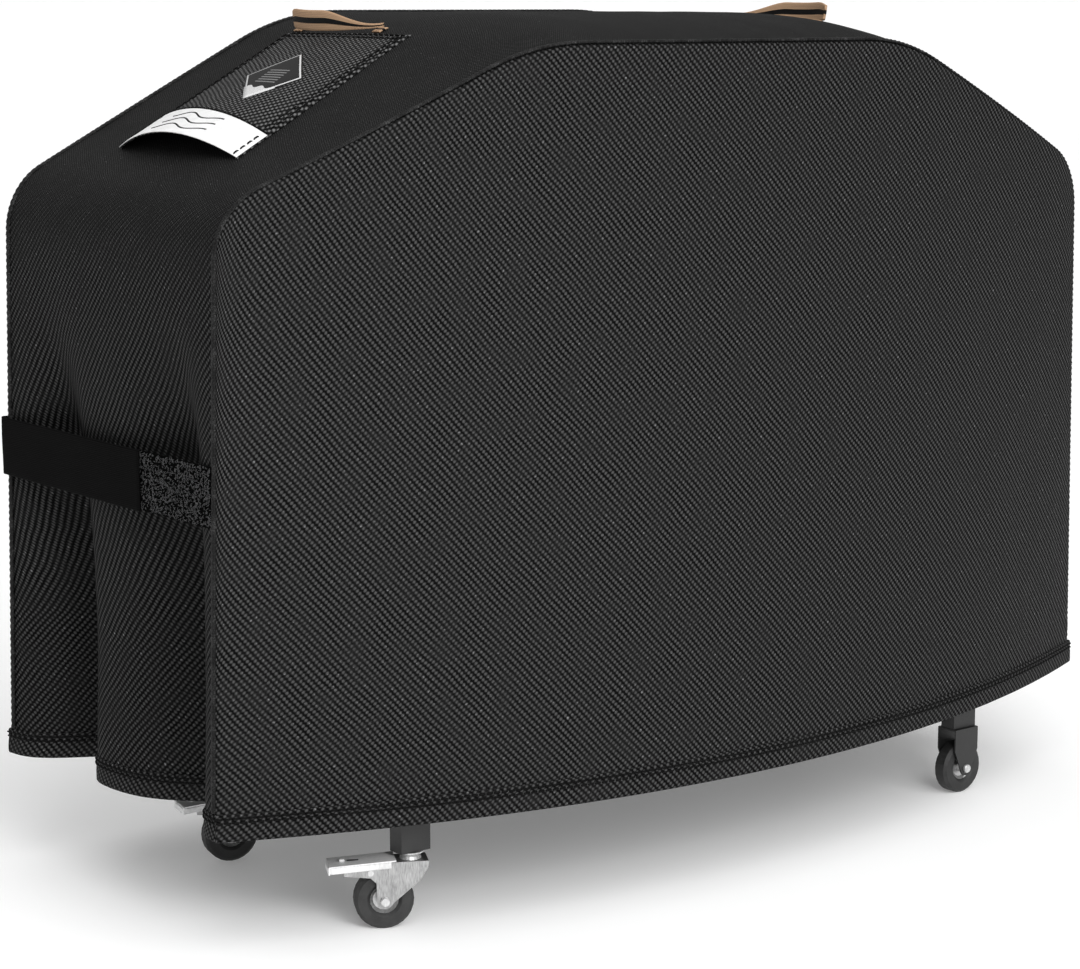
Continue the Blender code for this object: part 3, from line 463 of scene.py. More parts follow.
def topPoint(x, y):
    # height of the outside of the slopes or roof over a place
    share = 0.5 + (y - middleY) / (2 * halfDepth)
    for _ in range(4):
        level = roofShare(max(0.0, share))
        xs = mix(frontEdge[upperPart, 0], backEdge[upperPart, 0], level)
        index = np.interp(x, xs, edgeIndex[upperPart])
        front, back = (onLine(index, edgeIndex, edge) for edge in (frontEdge, backEdge))
        near, far = gussetSpan(front, back)
        share = (y - near) / (far - near)
    return hemZ + mix(front[1], back[1], roofShare(max(0.0, share)))


def topSurface(x, y, step=0.003):
    along = (topPoint(x + step, y) - topPoint(x - step, y)) / (2 * step)
    across = (topPoint(x, y + step) - topPoint(x, y - step)) / (2 * step)
    return Vector((x, y, topPoint(x, y))), Vector((-along, -across, 1)).normalized()


def rolled(distance):
    # how far cloth has turned in towards its seam, at a distance from it
    short = max(0.0, 1 - distance / cover["seamRoll"])
    return cover["seamSink"] * (1 - sqrt(max(0.0, 1 - short * short)))


def puckers(along, distance, seed):
    # small gathers that a seam leaves in the cloth beside it
    near = exp(-distance / cover["puckerReach"]) * min(1.0, distance / 0.004)
    wave = noise.noise(Vector((along / cover["puckerPitch"], seed, 0)))
    return cover["puckerDeep"] * 2 * near * wave


def creases(a, b, seed, deep=cover["creaseDeep"]):
    soft = noise.noise(Vector((a / 0.11, b / 0.16, seed)))
    fine = noise.noise(Vector((a / 0.038, b / 0.052, seed + 5)))
    return deep * (soft + 0.35 * fine)


# front and back panels
def seamDistance(x, height, line):
    starts, ends = line[:-1], line[1:]
    run = ends - starts
    off = np.array((x, height)) - starts
    share = np.clip((off * run).sum(1) / np.maximum((run * run).sum(1), 1e-12), 0, 1)
    return np.sqrt((((off - run * share[:, None])) ** 2).sum(1).min())


def panel(name, side, node):
    edge = frontEdge if side < 0 else backEdge
    rows = evenly(0, 1, cover["panelRows"])
    rows = rows[:-1] + [mix(rows[-2], 1, share) for share in (0.25, 0.5, 0.7, 0.85, 0.95, 1)]
    points = []
    for topX, top in edge[upperPart][::-side]:
        column = []
        for share in rows:
            height = top * share
            x = topX / widening(top) * widening(height)
            away = seamDistance(x, height, edge)
            out = creases(x, height, side) * min(1.0, away / 0.03) * min(1.0, height / 0.04)
            out += puckers(height + abs(x), away, side) - rolled(away)
            column.append((x, panelY(x, height, side) + side * out, hemZ + height))
        points.append(column)
    points = np.array(points)
    run = spreadAlong(points, 0)
    run -= run[len(run) // 2]
    return clothGrid(name, points, np.stack([run, points[:, :, 2]], axis=2), looks["cloth"],
                     cover["clothThick"], "cover_cloth", node=node)


frontPanel = panel("frontPanel", -1, "front_panel")
backPanel = panel("backPanel", 1, "back_panel")
print("front and back panels made")


# gusset: one long strip over both ends and the roof
vent = {"middleX": 0.4854, "halfX": 0.0864, "front": -0.0635, "back": 0.0955, "above": -0.03}


def gussetPoint(index, depthShare, out):
    front, back = frontEdge[index], backEdge[index]
    level = roofShare(depthShare)
    x, height = mix(front, back, level)
    y = mix(*gussetSpan(front, back), depthShare)
    if height < cover["foldTop"]:
        x -= copysign(foldDepth(y, height), x)
    normal = mix(frontNormals[index], backNormals[index], level)
    return Vector((x + normal[0] * out, y, hemZ + height + normal[1] * out))


def gusset():
    tight = [0.0, 0.0012, 0.0035, 0.0065, 0.010]
    shares = tight + evenly(0.018, 0.982, cover["endSteps"]) + [1 - share for share in reversed(tight)]
    points = []
    for index in range(len(frontEdge)):
        column = []
        for share in shares:
            deep = min(share, 1 - share) * 2 * halfDepth
            out = creases(edgeRun[index], share * 0.5, 3) * min(1.0, deep / 0.03)
            out += puckers(edgeRun[index], deep, 9) - rolled(deep)
            column.append(gussetPoint(index, share, out))
        points.append(column)
    points = np.array(points)
    along = np.repeat(edgeRun[:, None], points.shape[1], axis=1)
    piece = clothGrid("gussetPanel", points, np.stack([spreadAlong(points, 1), along], axis=2),
                      looks["gussetCloth"], cover["clothThick"], "cover_cloth")
    cutVents(piece)
    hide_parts("gusset_panel")
    return piece


def cutVents(piece):
    bm = bmesh.new()
    bm.from_mesh(piece.data)
    lowest = hemZ + cover["shoulder"] + vent["above"]
    low, high = middleY + vent["front"], middleY + vent["back"]
    cuts = [((0, y, 0), (0, 1, 0)) for y in (low, high)]
    cuts += [((end * vent["middleX"] + reach * vent["halfX"], 0, 0), (1, 0, 0))
             for end in (-1, 1) for reach in (-1, 1)]
    for place, direction in cuts:
        near = [face for face in bm.faces if face.calc_center_median().z > lowest]
        geometry = near + list({edge for face in near for edge in face.edges})
        geometry += list({vert for face in near for vert in face.verts})
        bmesh.ops.bisect_plane(bm, geom=geometry, plane_co=place, plane_no=direction)
    gone = []
    for face in bm.faces:
        middle = face.calc_center_median()
        inside = low < middle.y < high and abs(abs(middle.x) - vent["middleX"]) < vent["halfX"]
        if inside and middle.z > lowest:
            gone.append(face)
    bmesh.ops.delete(bm, geom=gone, context='FACES')
    bm.to_mesh(piece.data)
    bm.free()


gussetPanel = gusset()
print("gusset made")


# hem band with its two rows of stitches
hem = {
    "thick": 0.0016, "ease": 0.0007, "stitchRows": (0.0050, 0.0105), "wobble": 0.0004,
    # height on the band, and how far the cloth stands out there
    "profile": ((0.0, -0.0012), (0.0008, -0.0002), (0.0025, 0.0003), (0.006, 0.0005), (0.012, 0.0004),
                (0.018, 0.0002), (0.0225, -0.0002), (0.0265, 0.0002), (0.029, -0.0003),
                (0.0315, 0.0002), (0.0332, -0.0004), (0.034, -0.0012)),
}


def endPlan(end, share, height):
    wide = (halfLong + cover["flare"], height)
    y = mix(*gussetSpan(wide, wide), share)
    return end * (halfLong * widening(height) - foldDepth(y, height)), y


def hemLoop(height):
    # the line round the cover at one height, with its outward directions
    xs = [x / widening(top) * widening(height) for x, top in frontEdge[upperPart]]
    shares = evenly(0, 1, cover["endSteps"])
    ring = [(x, panelY(x, height, -1)) for x in xs]
    ring += [endPlan(1, share, height) for share in shares]
    ring += [(x, panelY(x, height, 1)) for x in reversed(xs)]
    ring += [endPlan(-1, 1 - share, height) for share in shares]
    ring = [Vector(spot) for spot in ring]
    normals = []
    for index, spot in enumerate(ring):
        before = (spot - ring[index - 1]).normalized()
        after = (ring[(index + 1) % len(ring)] - spot).normalized()
        first = Vector((before.y, -before.x))
        middle = (first + Vector((after.y, -after.x))).normalized()
        normals.append(middle / max(0.5, middle.dot(first)))
    return ring, normals


def hemPoint(loop, index, height, lift):
    ring, normals = loop
    spot = ring[index % len(ring)] + normals[index % len(ring)] * lift
    return Vector((spot.x, spot.y, hemZ + height))


def hemBand():
    proud = hem["thick"] + hem["ease"]
    loops = [hemLoop(height) for height, _ in hem["profile"]]
    around = range(len(loops[0][0]) + 1)
    points = []
    for index in around:
        column = []
        for loop, (height, out) in zip(loops, hem["profile"]):
            wobble = hem["wobble"] * noise.noise(Vector((index * 0.61, height / 0.01, 2)))
            column.append(hemPoint(loop, index, height, proud + out + wobble))
        points.append(column)
    points = np.array(points)
    points[-1] = points[0]
    run = np.repeat(spreadAlong(points, 0)[:, 5:6], len(loops), axis=1)
    piece = clothGrid("hemBand", points, np.stack([run, points[:, :, 2]], axis=2), looks["cloth"],
                      hem["thick"], "cover_cloth", ring=True, node="hem_band")
    lines = []
    for drop in hem["stitchRows"]:
        height = cover["hemHeight"] - drop
        loop = hemLoop(height)
        lines.append([(hemPoint(loop, index, height, proud), (*loop[1][index % len(loop[1])], 0))
                      for index in around])
    return piece, stitchRow("hemStitches", lines, "hem")


hemPiece, hemStitches = hemBand()
print("hem band made")


# welts: the rolled, twisted edge of the gusset beside each long seam
welt = {
    "inset": 0.0070, "halfWide": 0.0042, "high": 0.0021, "lift": 0.0006, "clear": 0.001,
    "twist": 0.0085, "ridge": 0.16, "sides": 10, "step": 0.0016,
}


def weltLook():
    look = newLook("seam_trim", (0.02, 0.02, 0.02), 0.55, specular=0.10)
    where = clothPoint(look)
    strands = speckle(look, 600.0, where=where)
    tone = strands * 0.6 + speckle(look, 45.0, where=where) * 0.4
    return finishLook(look, tone.ramp([(0.32, 0.002), (0.52, 0.012), (0.70, 0.060)]), None,
                      strands, 0.4, 0.0005)


looks["welt"] = weltLook()


def seamWelt(name, side, node):
    edge, other, normals = (frontEdge, backEdge, frontNormals) if side < 0 \
        else (backEdge, frontEdge, backNormals)
    level = roofShare(welt["inset"] / (2 * halfDepth)) if side < 0 else 1.0
    lowest = cover["hemHeight"] + welt["clear"]
    line, outs = [], []
    for index, (x, height) in enumerate(edge):
        if height < lowest and index not in (0, len(edge) - 1):
            continue
        height = max(height, lowest)
        if height < cover["shoulder"] / 2:
            x = copysign(halfLong * widening(height), x)
        rise = height if side > 0 else mix(height, max(height, other[index][1]), level)
        line.append((x, panelY(x, height, side) - side * welt["inset"], hemZ + rise))
        outs.append((normals[index][0], 0, normals[index][1]))
    line, outs = np.array(line), np.array(outs)
    runs = runAlong(line)
    angles = evenly(0, tau, welt["sides"])

    def spot(at, angle):
        swell = 1 + welt["ridge"] * cos(2 * angle - side * tau * at / welt["twist"])
        deep = welt["halfWide"] * cos(angle) * swell
        rise = welt["high"] * sin(angle) * swell + welt["lift"]
        return onLine(at, runs, line) + onLine(at, runs, outs) * rise + (0, deep, 0), (deep, at)

    piece = clothGrid(name, *gridOf(evenly(0, runs[-1], int(runs[-1] / welt["step"])), angles, spot),
                      looks["welt"], None, "seam_trim", ring=True, node=node)
    bm = bmesh.new()
    bm.from_mesh(piece.data)
    bmesh.ops.holes_fill(bm, edges=[edge for edge in bm.edges if edge.is_boundary], sides=0)
    bmesh.ops.recalc_face_normals(bm, faces=bm.faces)
    bm.to_mesh(piece.data)
    bm.free()


seamWelt("frontSeamWelt", -1, "front_seam_welt")
seamWelt("backSeamWelt", 1, "back_seam_welt")
print("welts made")


# air vents: hood, strip along the mouth, net
hood = {
    "lowX": 0.636, "highX": 0.348, "front": -0.146, "back": 0.135, "skew": 0.043, "rise": 0.028,
    "fall": 1.3, "lift": 0.0029, "thick": 0.0015, "edge": 0.0035, "tuck": 0.0016, "ridge": 0.0005,
    "pucker": 0.0006, "crease": 0.0012, "stitchRows": (0.0065, 0.0150),
}
hoodLong = hood["lowX"] - hood["highX"]
hoodWide = hood["back"] - hood["front"]
strip = {
    "frontLong": 0.049, "backLong": 0.078, "thick": 0.0008, "lift": 0.0044, "tuck": 0.0007,
    "overhang": 0.004, "sideRows": (0.022, 0.978), "topRow": 1.04,
    "markWide": 0.060, "markRadius": 0.0016, "markSink": 0.0008,
}
net = {"cell": 0.0038, "cord": 0.00045, "margin": 0.012, "thick": 0.0006, "drop": 0.0012, "guide": 8}


def hoodPoint(up, across, lift):
    # up runs from the mouth to the top of the hood, across from front to back
    x = -mix(hood["lowX"], hood["highX"], up)
    y = middleY + mix(hood["front"], hood["back"], across) + hood["skew"] * up
    place, normal = topSurface(x, y)
    arch = hood["rise"] * (1 - (2 * across - 1) ** 2) * max(0.0, 1 - up) ** hood["fall"]
    return place + normal * (arch + lift), normal


def ventHood(side):
    def spot(up, across):
        edge = min(across * hoodWide, (1 - across) * hoodWide, (1 - up) * hoodLong)
        lift = hood["lift"] - hood["tuck"] * (1 - smoothStep(edge / hood["edge"]))
        lift -= hood["ridge"] * exp(-((edge - 0.007) / 0.002) ** 2)
        lift += creases(up * 0.28, across * 0.3, 21, hood["crease"]) * min(1.0, edge / 0.02)
        lift += hood["pucker"] * noise.noise(Vector((up * 22, across * 24, 4))) * exp(-edge / 0.02)
        return hoodPoint(up, across, lift)[0], (across * hoodWide, up * hoodLong)

    ups = [0, 0.004, 0.012, 0.024] + evenly(0.05, 0.95, 30) + [0.975, 0.99, 1]
    acrosses = [0, 0.006, 0.016, 0.03] + evenly(0.055, 0.945, 34) + [0.97, 0.984, 0.994, 1]
    return clothGrid(side + "VentHood", *gridOf(ups, acrosses, spot), looks["hoodCloth"], hood["thick"],
                     "cover_cloth", mirror=side == "right", node=side + "_vent_hood")


def stripLook():
    look = newLook("label_cloth", (0.82, 0.82, 0.81), 0.55, sheen=0.1)
    where = clothPoint(look)
    weft = Signal(look, addNode(look, "ShaderNodeTexWave", {"bands_direction": "X"}, Vector=where,
                                Scale=260.0, Distortion=0.6).outputs["Fac"])
    # the tone is partly painted shade in the hollows of the weft and partly random mottling
    tone = weft * 0.25 + speckle(look, 60.0, 3.0, where=where) * 0.75
    return finishLook(look, tone.ramp([(0.2, 0.70), (0.6, 0.88)]), None, weft, 0.25, 0.0004)


looks["strip"] = stripLook()


def stripPoint(up, across, lift):
    # up is 0 at the mouth and 1 at the strip's other long side, which lies higher towards the back
    reach = mix(strip["frontLong"], strip["backLong"], across) / hoodLong
    return hoodPoint(up * reach - strip["overhang"], across, lift)


def ventStrip(side):
    def spot(up, across):
        edge = min(min(up, 1 - up) * strip["frontLong"], across * hoodWide, (1 - across) * hoodWide)
        lift = strip["lift"] - strip["tuck"] * (1 - smoothStep(edge / 0.002))
        return stripPoint(up, across, lift)[0], (across * hoodWide, up * strip["backLong"])

    mirror = side == "right"
    ups = [0, 0.02, 0.06] + evenly(0.1, 0.9, 6) + [0.94, 0.98, 1]
    acrosses = [0.0, 0.004, 0.012] + evenly(0.03, 0.97, 40) + [0.988, 0.996, 1]
    piece = clothGrid(side + "VentLabel", *gridOf(ups, acrosses, spot), looks["strip"], strip["thick"],
                      "label_cloth", mirror=mirror, node=side + "_vent_label")
    lines = [[stripPoint(up, across, strip["lift"]) for up in evenly(0.04, 0.96, 12)]
             for across in strip["sideRows"]]
    lines.append([stripPoint(strip["topRow"], across, hood["lift"]) for across in evenly(0.02, 0.98, 40)])
    return piece, stitchRow(side + "LabelStitches", lines, "strip", mirror), airMark(side, mirror)


def airMark(side, mirror):
    # three rising waves of air in the middle of the strip
    curve = newCurve(side + "AirMark", strip["markRadius"])
    for line in range(3):
        spots = []
        for along in evenly(-1, 1, 30):
            up = 0.26 + 0.24 * line + 0.075 * sin(along * pi * 1.5)
            across = 0.5 + along * strip["markWide"] / hoodWide
            spots.append(stripPoint(up, across, strip["lift"] - strip["markSink"])[0])
        addStrand(curve, spots, mirror)
    return placePiece(side + "AirMark", curve, looks["thread"])


def hoodStitches(side):
    lines = [[hoodPoint(up, across, hood["lift"]) for up in evenly(0.20, 0.985, 30)]
             for inset in hood["stitchRows"] for across in (inset / hoodWide, 1 - inset / hoodWide)]
    lines += [[hoodPoint(1 - inset / hoodLong, across, hood["lift"]) for across in evenly(0.02, 0.98, 30)]
              for inset in hood["stitchRows"]]
    return stitchRow(side + "HoodStitches", lines, "hood", side == "right")


def netLook():
    look = newLook("vent_net", (0.008, 0.008, 0.008), 0.8)
    return finishLook(look, speckle(look, 300.0).ramp([(0.3, 0.004), (0.7, 0.02)]))


looks["net"] = netLook()


def ventNet(side):
    reachX = vent["halfX"] + net["margin"]
    low, high = vent["front"] - net["margin"], vent["back"] + net["margin"]
    guide, drop = net["guide"], cover["clothThick"] + net["drop"]
    coarse = {}
    for column in range(guide + 1):
        for row in range(guide + 1):
            place, normal = topSurface(mix(-reachX, reachX, column / guide) - vent["middleX"],
                                       middleY + mix(low, high, row / guide))
            coarse[column, row] = place - normal * drop
    bm = bmesh.new()
    bmesh.ops.create_grid(bm, x_segments=round(2 * reachX / net["cell"]),
                          y_segments=round((high - low) / net["cell"]), size=0.5)
    for vert in bm.verts:
        a, b = (vert.co.x + 0.5) * guide, (vert.co.y + 0.5) * guide
        column, row = min(guide - 1, int(a)), min(guide - 1, int(b))
        near, far = (coarse[column, line].lerp(coarse[column + 1, line], a - column)
                     for line in (row, row + 1))
        vert.co = near.lerp(far, b - row)
        if side == "right":
            vert.co.x *= -1
    if side == "right":
        bmesh.ops.reverse_faces(bm, faces=bm.faces)
    cells = list(bm.faces)
    bmesh.ops.inset_individual(bm, faces=cells, thickness=net["cord"], depth=0.0)
    bmesh.ops.delete(bm, geom=cells, context='FACES')
    piece = meshPiece(side + "VentNet", bm, looks["net"], thickness=net["thick"])
    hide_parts(side + "_vent_net")
    return piece


for side in ("left", "right"):
    hoodPiece = ventHood(side)
    stripPiece, stripStitches, mark = ventStrip(side)
    around = hoodStitches(side)
    netPiece = ventNet(side)
print("vents made")


# square patch on the left hood
patch = {
    "x": 0.4747, "y": 0.0150, "half": 0.0634, "across": 1.04, "turn": 0.50,
    "thick": 0.0006, "lift": 0.0043, "tuck": 0.0005,
}


def patchLook():
    # a white line just inside the edge, a white lower corner with a wavy border, plain grey bars
    look = newLook("care_patch", (0.01, 0.01, 0.01), 0.5, specular=0.15)
    a, b, _ = axes(look, clothPoint(look))
    nearest = a.apply("MINIMUM", a * -1.0 + 1.0).apply("MINIMUM", b.apply("MINIMUM", b * -1.0 + 1.0))
    line = (nearest > 0.022) * (nearest < 0.052)
    rise, middle = a - b, a + b - 1.0
    corner = rise + (middle * 16.0).apply("SINE") * 0.045 < -0.50
    bars = ((rise * 62.0).apply("SINE") > 0.45) * (middle.apply("ABSOLUTE") < 0.34)
    bars = bars * (rise > -0.36) * (rise < 0.30)
    worn = speckle(look, 30.0, where=clothPoint(look))
    mask = line.apply("MAXIMUM", corner).apply("MAXIMUM", bars * 0.34) * worn.span(0.3, 0.5, 0.75, 1.0)
    return finishLook(look, mask.ramp([(0.0, 0.007), (1.0, 0.62)]), None, worn, 0.1, 0.0003)


looks["patch"] = patchLook()


def carePatch():
    def spot(a, b):
        along = (a - b) / 2 * patch["half"]
        up = (hood["lowX"] - patch["x"] + along) / hoodLong
        y = patch["y"] + (a + b) / 2 * patch["half"] * patch["across"] + along * patch["turn"]
        edge = 1 - max(abs(a), abs(b))
        lift = patch["lift"] - patch["tuck"] * (1 - smoothStep(edge / 0.06))
        place, _ = hoodPoint(up, (y - hood["skew"] * up - hood["front"]) / hoodWide, lift)
        return place, ((a + 1) / 2, (b + 1) / 2)

    places = evenly(-1, 1, 14)
    return clothGrid("carePatch", *gridOf(places, places, spot), looks["patch"], patch["thick"],
                     "care_patch", node="care_patch")


patchPiece = carePatch()


# carry handles
handle = {
    "leftX": 0.337, "rightX": 0.300, "butt": 0.175, "tip": -0.027, "rise": 0.034, "long": 0.235,
    "wide": 0.027, "tipWide": 0.005, "buttWide": 0.020, "taper": 0.45, "swell": 0.6, "crown": 0.0007,
    "thick": 0.0020, "lean": 100, "lift": 0.0060,
    "tabLong": 0.018, "tabWide": 0.014, "tabThick": 0.0016, "tabLift": 0.0034, "tabTuck": 0.0010,
}


def webbingLook(name, edgeColour, middleColour, ribs):
    # the first number of the cloth place runs across the band, from 0 to 1, the second along it in metres
    look = newLook(name, edgeColour, 0.7, specular=0.15)
    across, along, _ = axes(look, clothPoint(look))
    twill = ((along + across * 0.004) * (tau / ribs)).apply("SINE")
    cords = (across * (tau * 13)).apply("SINE")
    height = twill * 0.28 + cords * 0.22 + 0.5
    black = (across - 0.5).apply("ABSOLUTE") < 0.14
    tone = mixed(look, black, (*edgeColour, 1), (*middleColour, 1))
    shade = mixed(look, 1.0, tone, height.ramp([(0.1, 0.45), (0.7, 1.0)]), "MULTIPLY")
    return finishLook(look, shade, None, height, 0.5, 0.0006)


looks["handle"] = webbingLook("handle_webbing", (0.56, 0.36, 0.22), (0.004, 0.004, 0.004), 0.0016)


def carryHandle(side):
    # the right handle is the left one turned half round
    end = -1 if side == "left" else 1
    lean = radians(handle["lean"])
    tip, butt = (topSurface(end * handle[side + "X"], middleY - end * handle[reach])[0]
                 + Vector((0, 0, handle["lift"])) for reach in ("tip", "butt"))
    run = butt - tip
    along = run.normalized()
    up = Vector((end * sin(lean), 0, cos(lean)))
    up = (up - along * up.dot(along)).normalized()
    across = along.cross(up)
    if across.z < 0:
        across = -across

    def spot(share, b):
        widest = mix(handle["wide"], handle["buttWide"], smoothStep((share - 0.8) / 0.2))
        width = mix(handle["tipWide"], widest, smoothStep(share / handle["taper"]))
        rise = handle["rise"] * sin(pi * share) ** handle["swell"]
        rise += handle["crown"] * (1 - (2 * b - 1) ** 2)
        return tip + run * share + up * rise + across * (width * (1 - b)), (b, share * handle["long"])

    points, flat = (part[::-end] for part in gridOf(evenly(0, 1, 90), evenly(0, 1, 8), spot))
    piece = clothGrid(side + "Handle", points, flat, looks["handle"], handle["thick"],
                      "handle_webbing", offset=0.0, body=side + "_handle", node=side + "_handle")
    handleTab(side + "TipTab", side, end, handle["tip"], 1)
    handleTab(side + "ButtTab", side, end, handle["butt"], -1)


def handleTab(name, side, end, reach, inwards):
    # the end of the webbing, laid flat and sewn down beside the handle's hinge line
    def spot(a, b):
        x = end * (handle[side + "X"] + (0.5 - b) * handle["tabWide"])
        place, normal = topSurface(x, middleY - end * (reach + inwards * a * handle["tabLong"]))
        lift = handle["tabLift"] - handle["tabTuck"] * (1 - smoothStep(min(a, 1 - a, b, 1 - b) / 0.1))
        return place + normal * lift, (b, a * handle["tabLong"])

    points, flat = (part[::-inwards] for part in gridOf(evenly(0, 1, 10), evenly(0, 1, 8), spot))
    piece = clothGrid(name, points, flat, looks["handle"], handle["tabThick"], "handle_webbing")


for side in ("left", "right"):
    carryHandle(side)
print("handles made")


# hook and loop straps
strap = {"thick": 0.0022, "wrap": 0.014, "bend": 0.0035, "sag": 0.0009, "tuck": 0.0005}
loops = {"thick": 0.0011, "count": 1500, "radius": 0.00026, "high": 0.0010, "reach": (0.0008, 0.0019)}


def strapLook():
    look = newLook("strap_webbing", (0.002, 0.002, 0.002), 0.7, specular=0.02)
    across, along, _ = axes(look, clothPoint(look))
    cords = (across * (tau / 0.0024)).apply("SINE")
    ticks = (along * (tau / 0.0017)).apply("SINE")
    height = cords * 0.32 + ticks * 0.14 + 0.5
    # colour follows the height of the cords and ticks: painted shade in their hollows, painted highlight on
    # their tops
    return finishLook(look, height.ramp([(0.15, 0.0008), (0.55, 0.0022), (0.9, 0.0075)]), None,
                      height, 0.45, 0.0006)


def loopBaseLook():
    look = newLook("loop_tape", (0.003, 0.003, 0.003), 0.95, specular=0.02)
    fuzz = speckle(look, 900.0, 3.0, 0.7)
    return finishLook(look, fuzz.ramp([(0.40, 0.0006), (0.66, 0.003), (0.78, 0.05)]), None, fuzz,
                      0.9, 0.001)


looks["strap"] = strapLook()
looks["loopBase"] = loopBaseLook()
looks["loopYarn"] = yarnLook("loop_yarn", (0.13, 0.13, 0.133), 0.45)


def hookStrap(side):
    low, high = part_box("left_hook_strap")
    bend = strap["bend"]
    line = [(low.x, y) for y in evenly(low.y, high.y - bend, 60)]
    line += [(low.x + bend * (1 - cos(angle)), high.y - bend * (1 - sin(angle)))
             for angle in evenly(0, pi / 2, 5)[1:]]
    line += [(low.x + bend + run, high.y) for run in evenly(0, strap["wrap"], 4)[1:]]
    runs = runAlong(np.array(line))

    def spot(index, b):
        x, y = line[index]
        sag = strap["sag"] * noise.noise(Vector((y * 14, b * 2, 8)))
        edge = strap["tuck"] * (1 - smoothStep(min(b, 1 - b) / 0.03))
        return (x + sag + edge, y, mix(high.z, low.z, b)), (b * (high.z - low.z), runs[index])

    zs = [0, 0.02, 0.06] + evenly(0.1, 0.9, 12) + [0.94, 0.98, 1]
    piece = clothGrid(side + "HookStrap", *gridOf(range(len(line)), zs, spot), looks["strap"],
                      strap["thick"], "strap_webbing", mirror=side == "right", body=side + "_strap",
                      node=side + "_hook_strap")


def loopStrip(side):
    low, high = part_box("left_loop_strip")
    mirror = side == "right"
    points = [[(low.x + 0.0006 + 0.0004 * noise.noise(Vector((y * 300, z * 300, 1))), y, z)
               for z in evenly(high.z, low.z, 20)] for y in evenly(low.y, high.y, 40)]
    piece = clothGrid(side + "LoopStrip", points, None, looks["loopBase"], loops["thick"],
                      "loop_tape", mirror=mirror, node=side + "_loop_strip")
    pile = newCurve(side + "LoopPile", loops["radius"], 0, False)
    for _ in range(loops["count"]):
        y, z = random.uniform(low.y + 0.001, high.y - 0.001), random.uniform(low.z + 0.001, high.z - 0.001)
        turn, reach = random.uniform(0, tau), random.uniform(*loops["reach"])
        addStrand(pile, [(low.x + 0.0004 - loops["high"] * sin(angle),
                          y + reach * cos(angle) * cos(turn),
                          z + reach * cos(angle) * sin(turn)) for angle in evenly(0, pi, 3)],
                  mirror)
    fuzz = placePiece(side + "LoopPile", pile, looks["loopYarn"])


for side in ("left", "right"):
    loopStrip(side)
    hookStrap(side)
print("straps made")


# cart frame and casters: finishes of the CAD nodes
def paintLook():
    look = newLook("black_paint", (0.014, 0.014, 0.015), 0.42)
    peel = speckle(look, 700.0)
    dust = speckle(look, 30.0, 3.0)
    return finishLook(look, dust.ramp([(0.3, 0.010), (0.7, 0.022)]), dust.span(0.3, 0.7, 0.36, 0.52),
                      peel, 0.12, 0.0003)


def metalLook(name, dark, light, roughness, stretch, metallic=1.0):
    look = newLook(name, (light,) * 3, roughness, metallic=metallic)
    brushed = speckle(look, 120.0, 3.0, 0.6, objectPoint(look, stretch))
    tone = brushed * 0.7 + speckle(look, 60.0, 3.0) * 0.3
    return finishLook(look, tone.ramp([(0.35, dark), (0.65, light)]),
                      brushed.span(0.3, 0.7, roughness * 0.8, roughness * 1.25), brushed, 0.12, 0.0003)


def rubberLook():
    look = newLook("tyre_rubber", (0.016, 0.016, 0.017), 0.6)
    scuffs = speckle(look, 70.0, 4.0, 0.65)
    return finishLook(look, scuffs.ramp([(0.4, 0.012), (0.7, 0.034)]), scuffs.span(0.3, 0.7, 0.5, 0.75),
                      speckle(look, 500.0), 0.2, 0.0003)


looks["paint"] = paintLook()
looks["zinc"] = metalLook("zinc_plate", 0.26, 0.52, 0.36, (8, 8, 1))
looks["steel"] = metalLook("bright_steel", 0.50, 0.72, 0.42, (6, 1, 1), metallic=0.7)
looks["pedal"] = metalLook("bright_pedal", 0.74, 0.92, 0.45, (1, 6, 1), metallic=0.15)
looks["rubber"] = rubberLook()
looks["hubPlate"] = metalLook("hub_plate", 0.36, 0.60, 0.34, (1, 4, 1))

nodeLooks = {
    "paint": ("_leg", "_rail", "_shelf_frame", "_roof_hoop", "right_front_fork", "right_back_fork"),
    "zinc": ("left_front_fork", "left_back_fork"),
    "steel": ("_axle_bolt", "_swivel_stem", "_pedal_pin"),
    "pedal": ("_brake_pedal",),
    "rubber": ("_tyre",),
    "hubPlate": ("_hub",),
}
for node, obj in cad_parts.items():
    for lookName, endings in nodeLooks.items():
        if node.endswith(endings):
            obj.data.materials.clear()
            obj.data.materials.append(looks[lookName])


# brake pedals: the turned-down rim, the slot and the small tab of each pressed plate
pedal = {
    "inner": -0.026, "outer": -0.104, "half": 0.0192, "corner": 0.006,
    "top": 0.0888, "drop": 0.0045, "rim": 0.0078, "rimDrop": 0.0003, "thick": 0.0013, "plate": 0.0016,
    # place from the caster's middle, and size
    "slot": (-0.072, (0.015, 0.005, 0.0004)), "tab": (-0.086, (0.007, 0.009, 0.0036)),
    "bevel": 0.35,
}
casterPlaces = {"left_front": (-0.490, -0.225, -28), "left_back": (-0.490, 0.140, -12)}


def pedalTop(x):
    return pedal["top"] - pedal["drop"] * (pedal["inner"] - x) / (pedal["inner"] - pedal["outer"])


def pedalRim(name, body, turned):
    line = [(pedal["inner"], pedal["half"])]
    for start, sign in ((pi / 2, 1), (pi, -1)):
        for angle in evenly(start, start + pi / 2, 6):
            line.append((pedal["outer"] + pedal["corner"] * (1 + cos(angle)),
                         sign * (pedal["half"] - pedal["corner"]) + pedal["corner"] * sin(angle)))
    line.append((pedal["inner"], -pedal["half"]))
    points = [[turned @ Vector((x, y, pedalTop(x) - pedal["rimDrop"] - fall * pedal["rim"]))
               for fall in evenly(0, 1, 4)] for x, y in line]
    clothGrid(name, points, None, looks["pedal"], pedal["thick"], "bright_steel",
              offset=0.0, body=body)


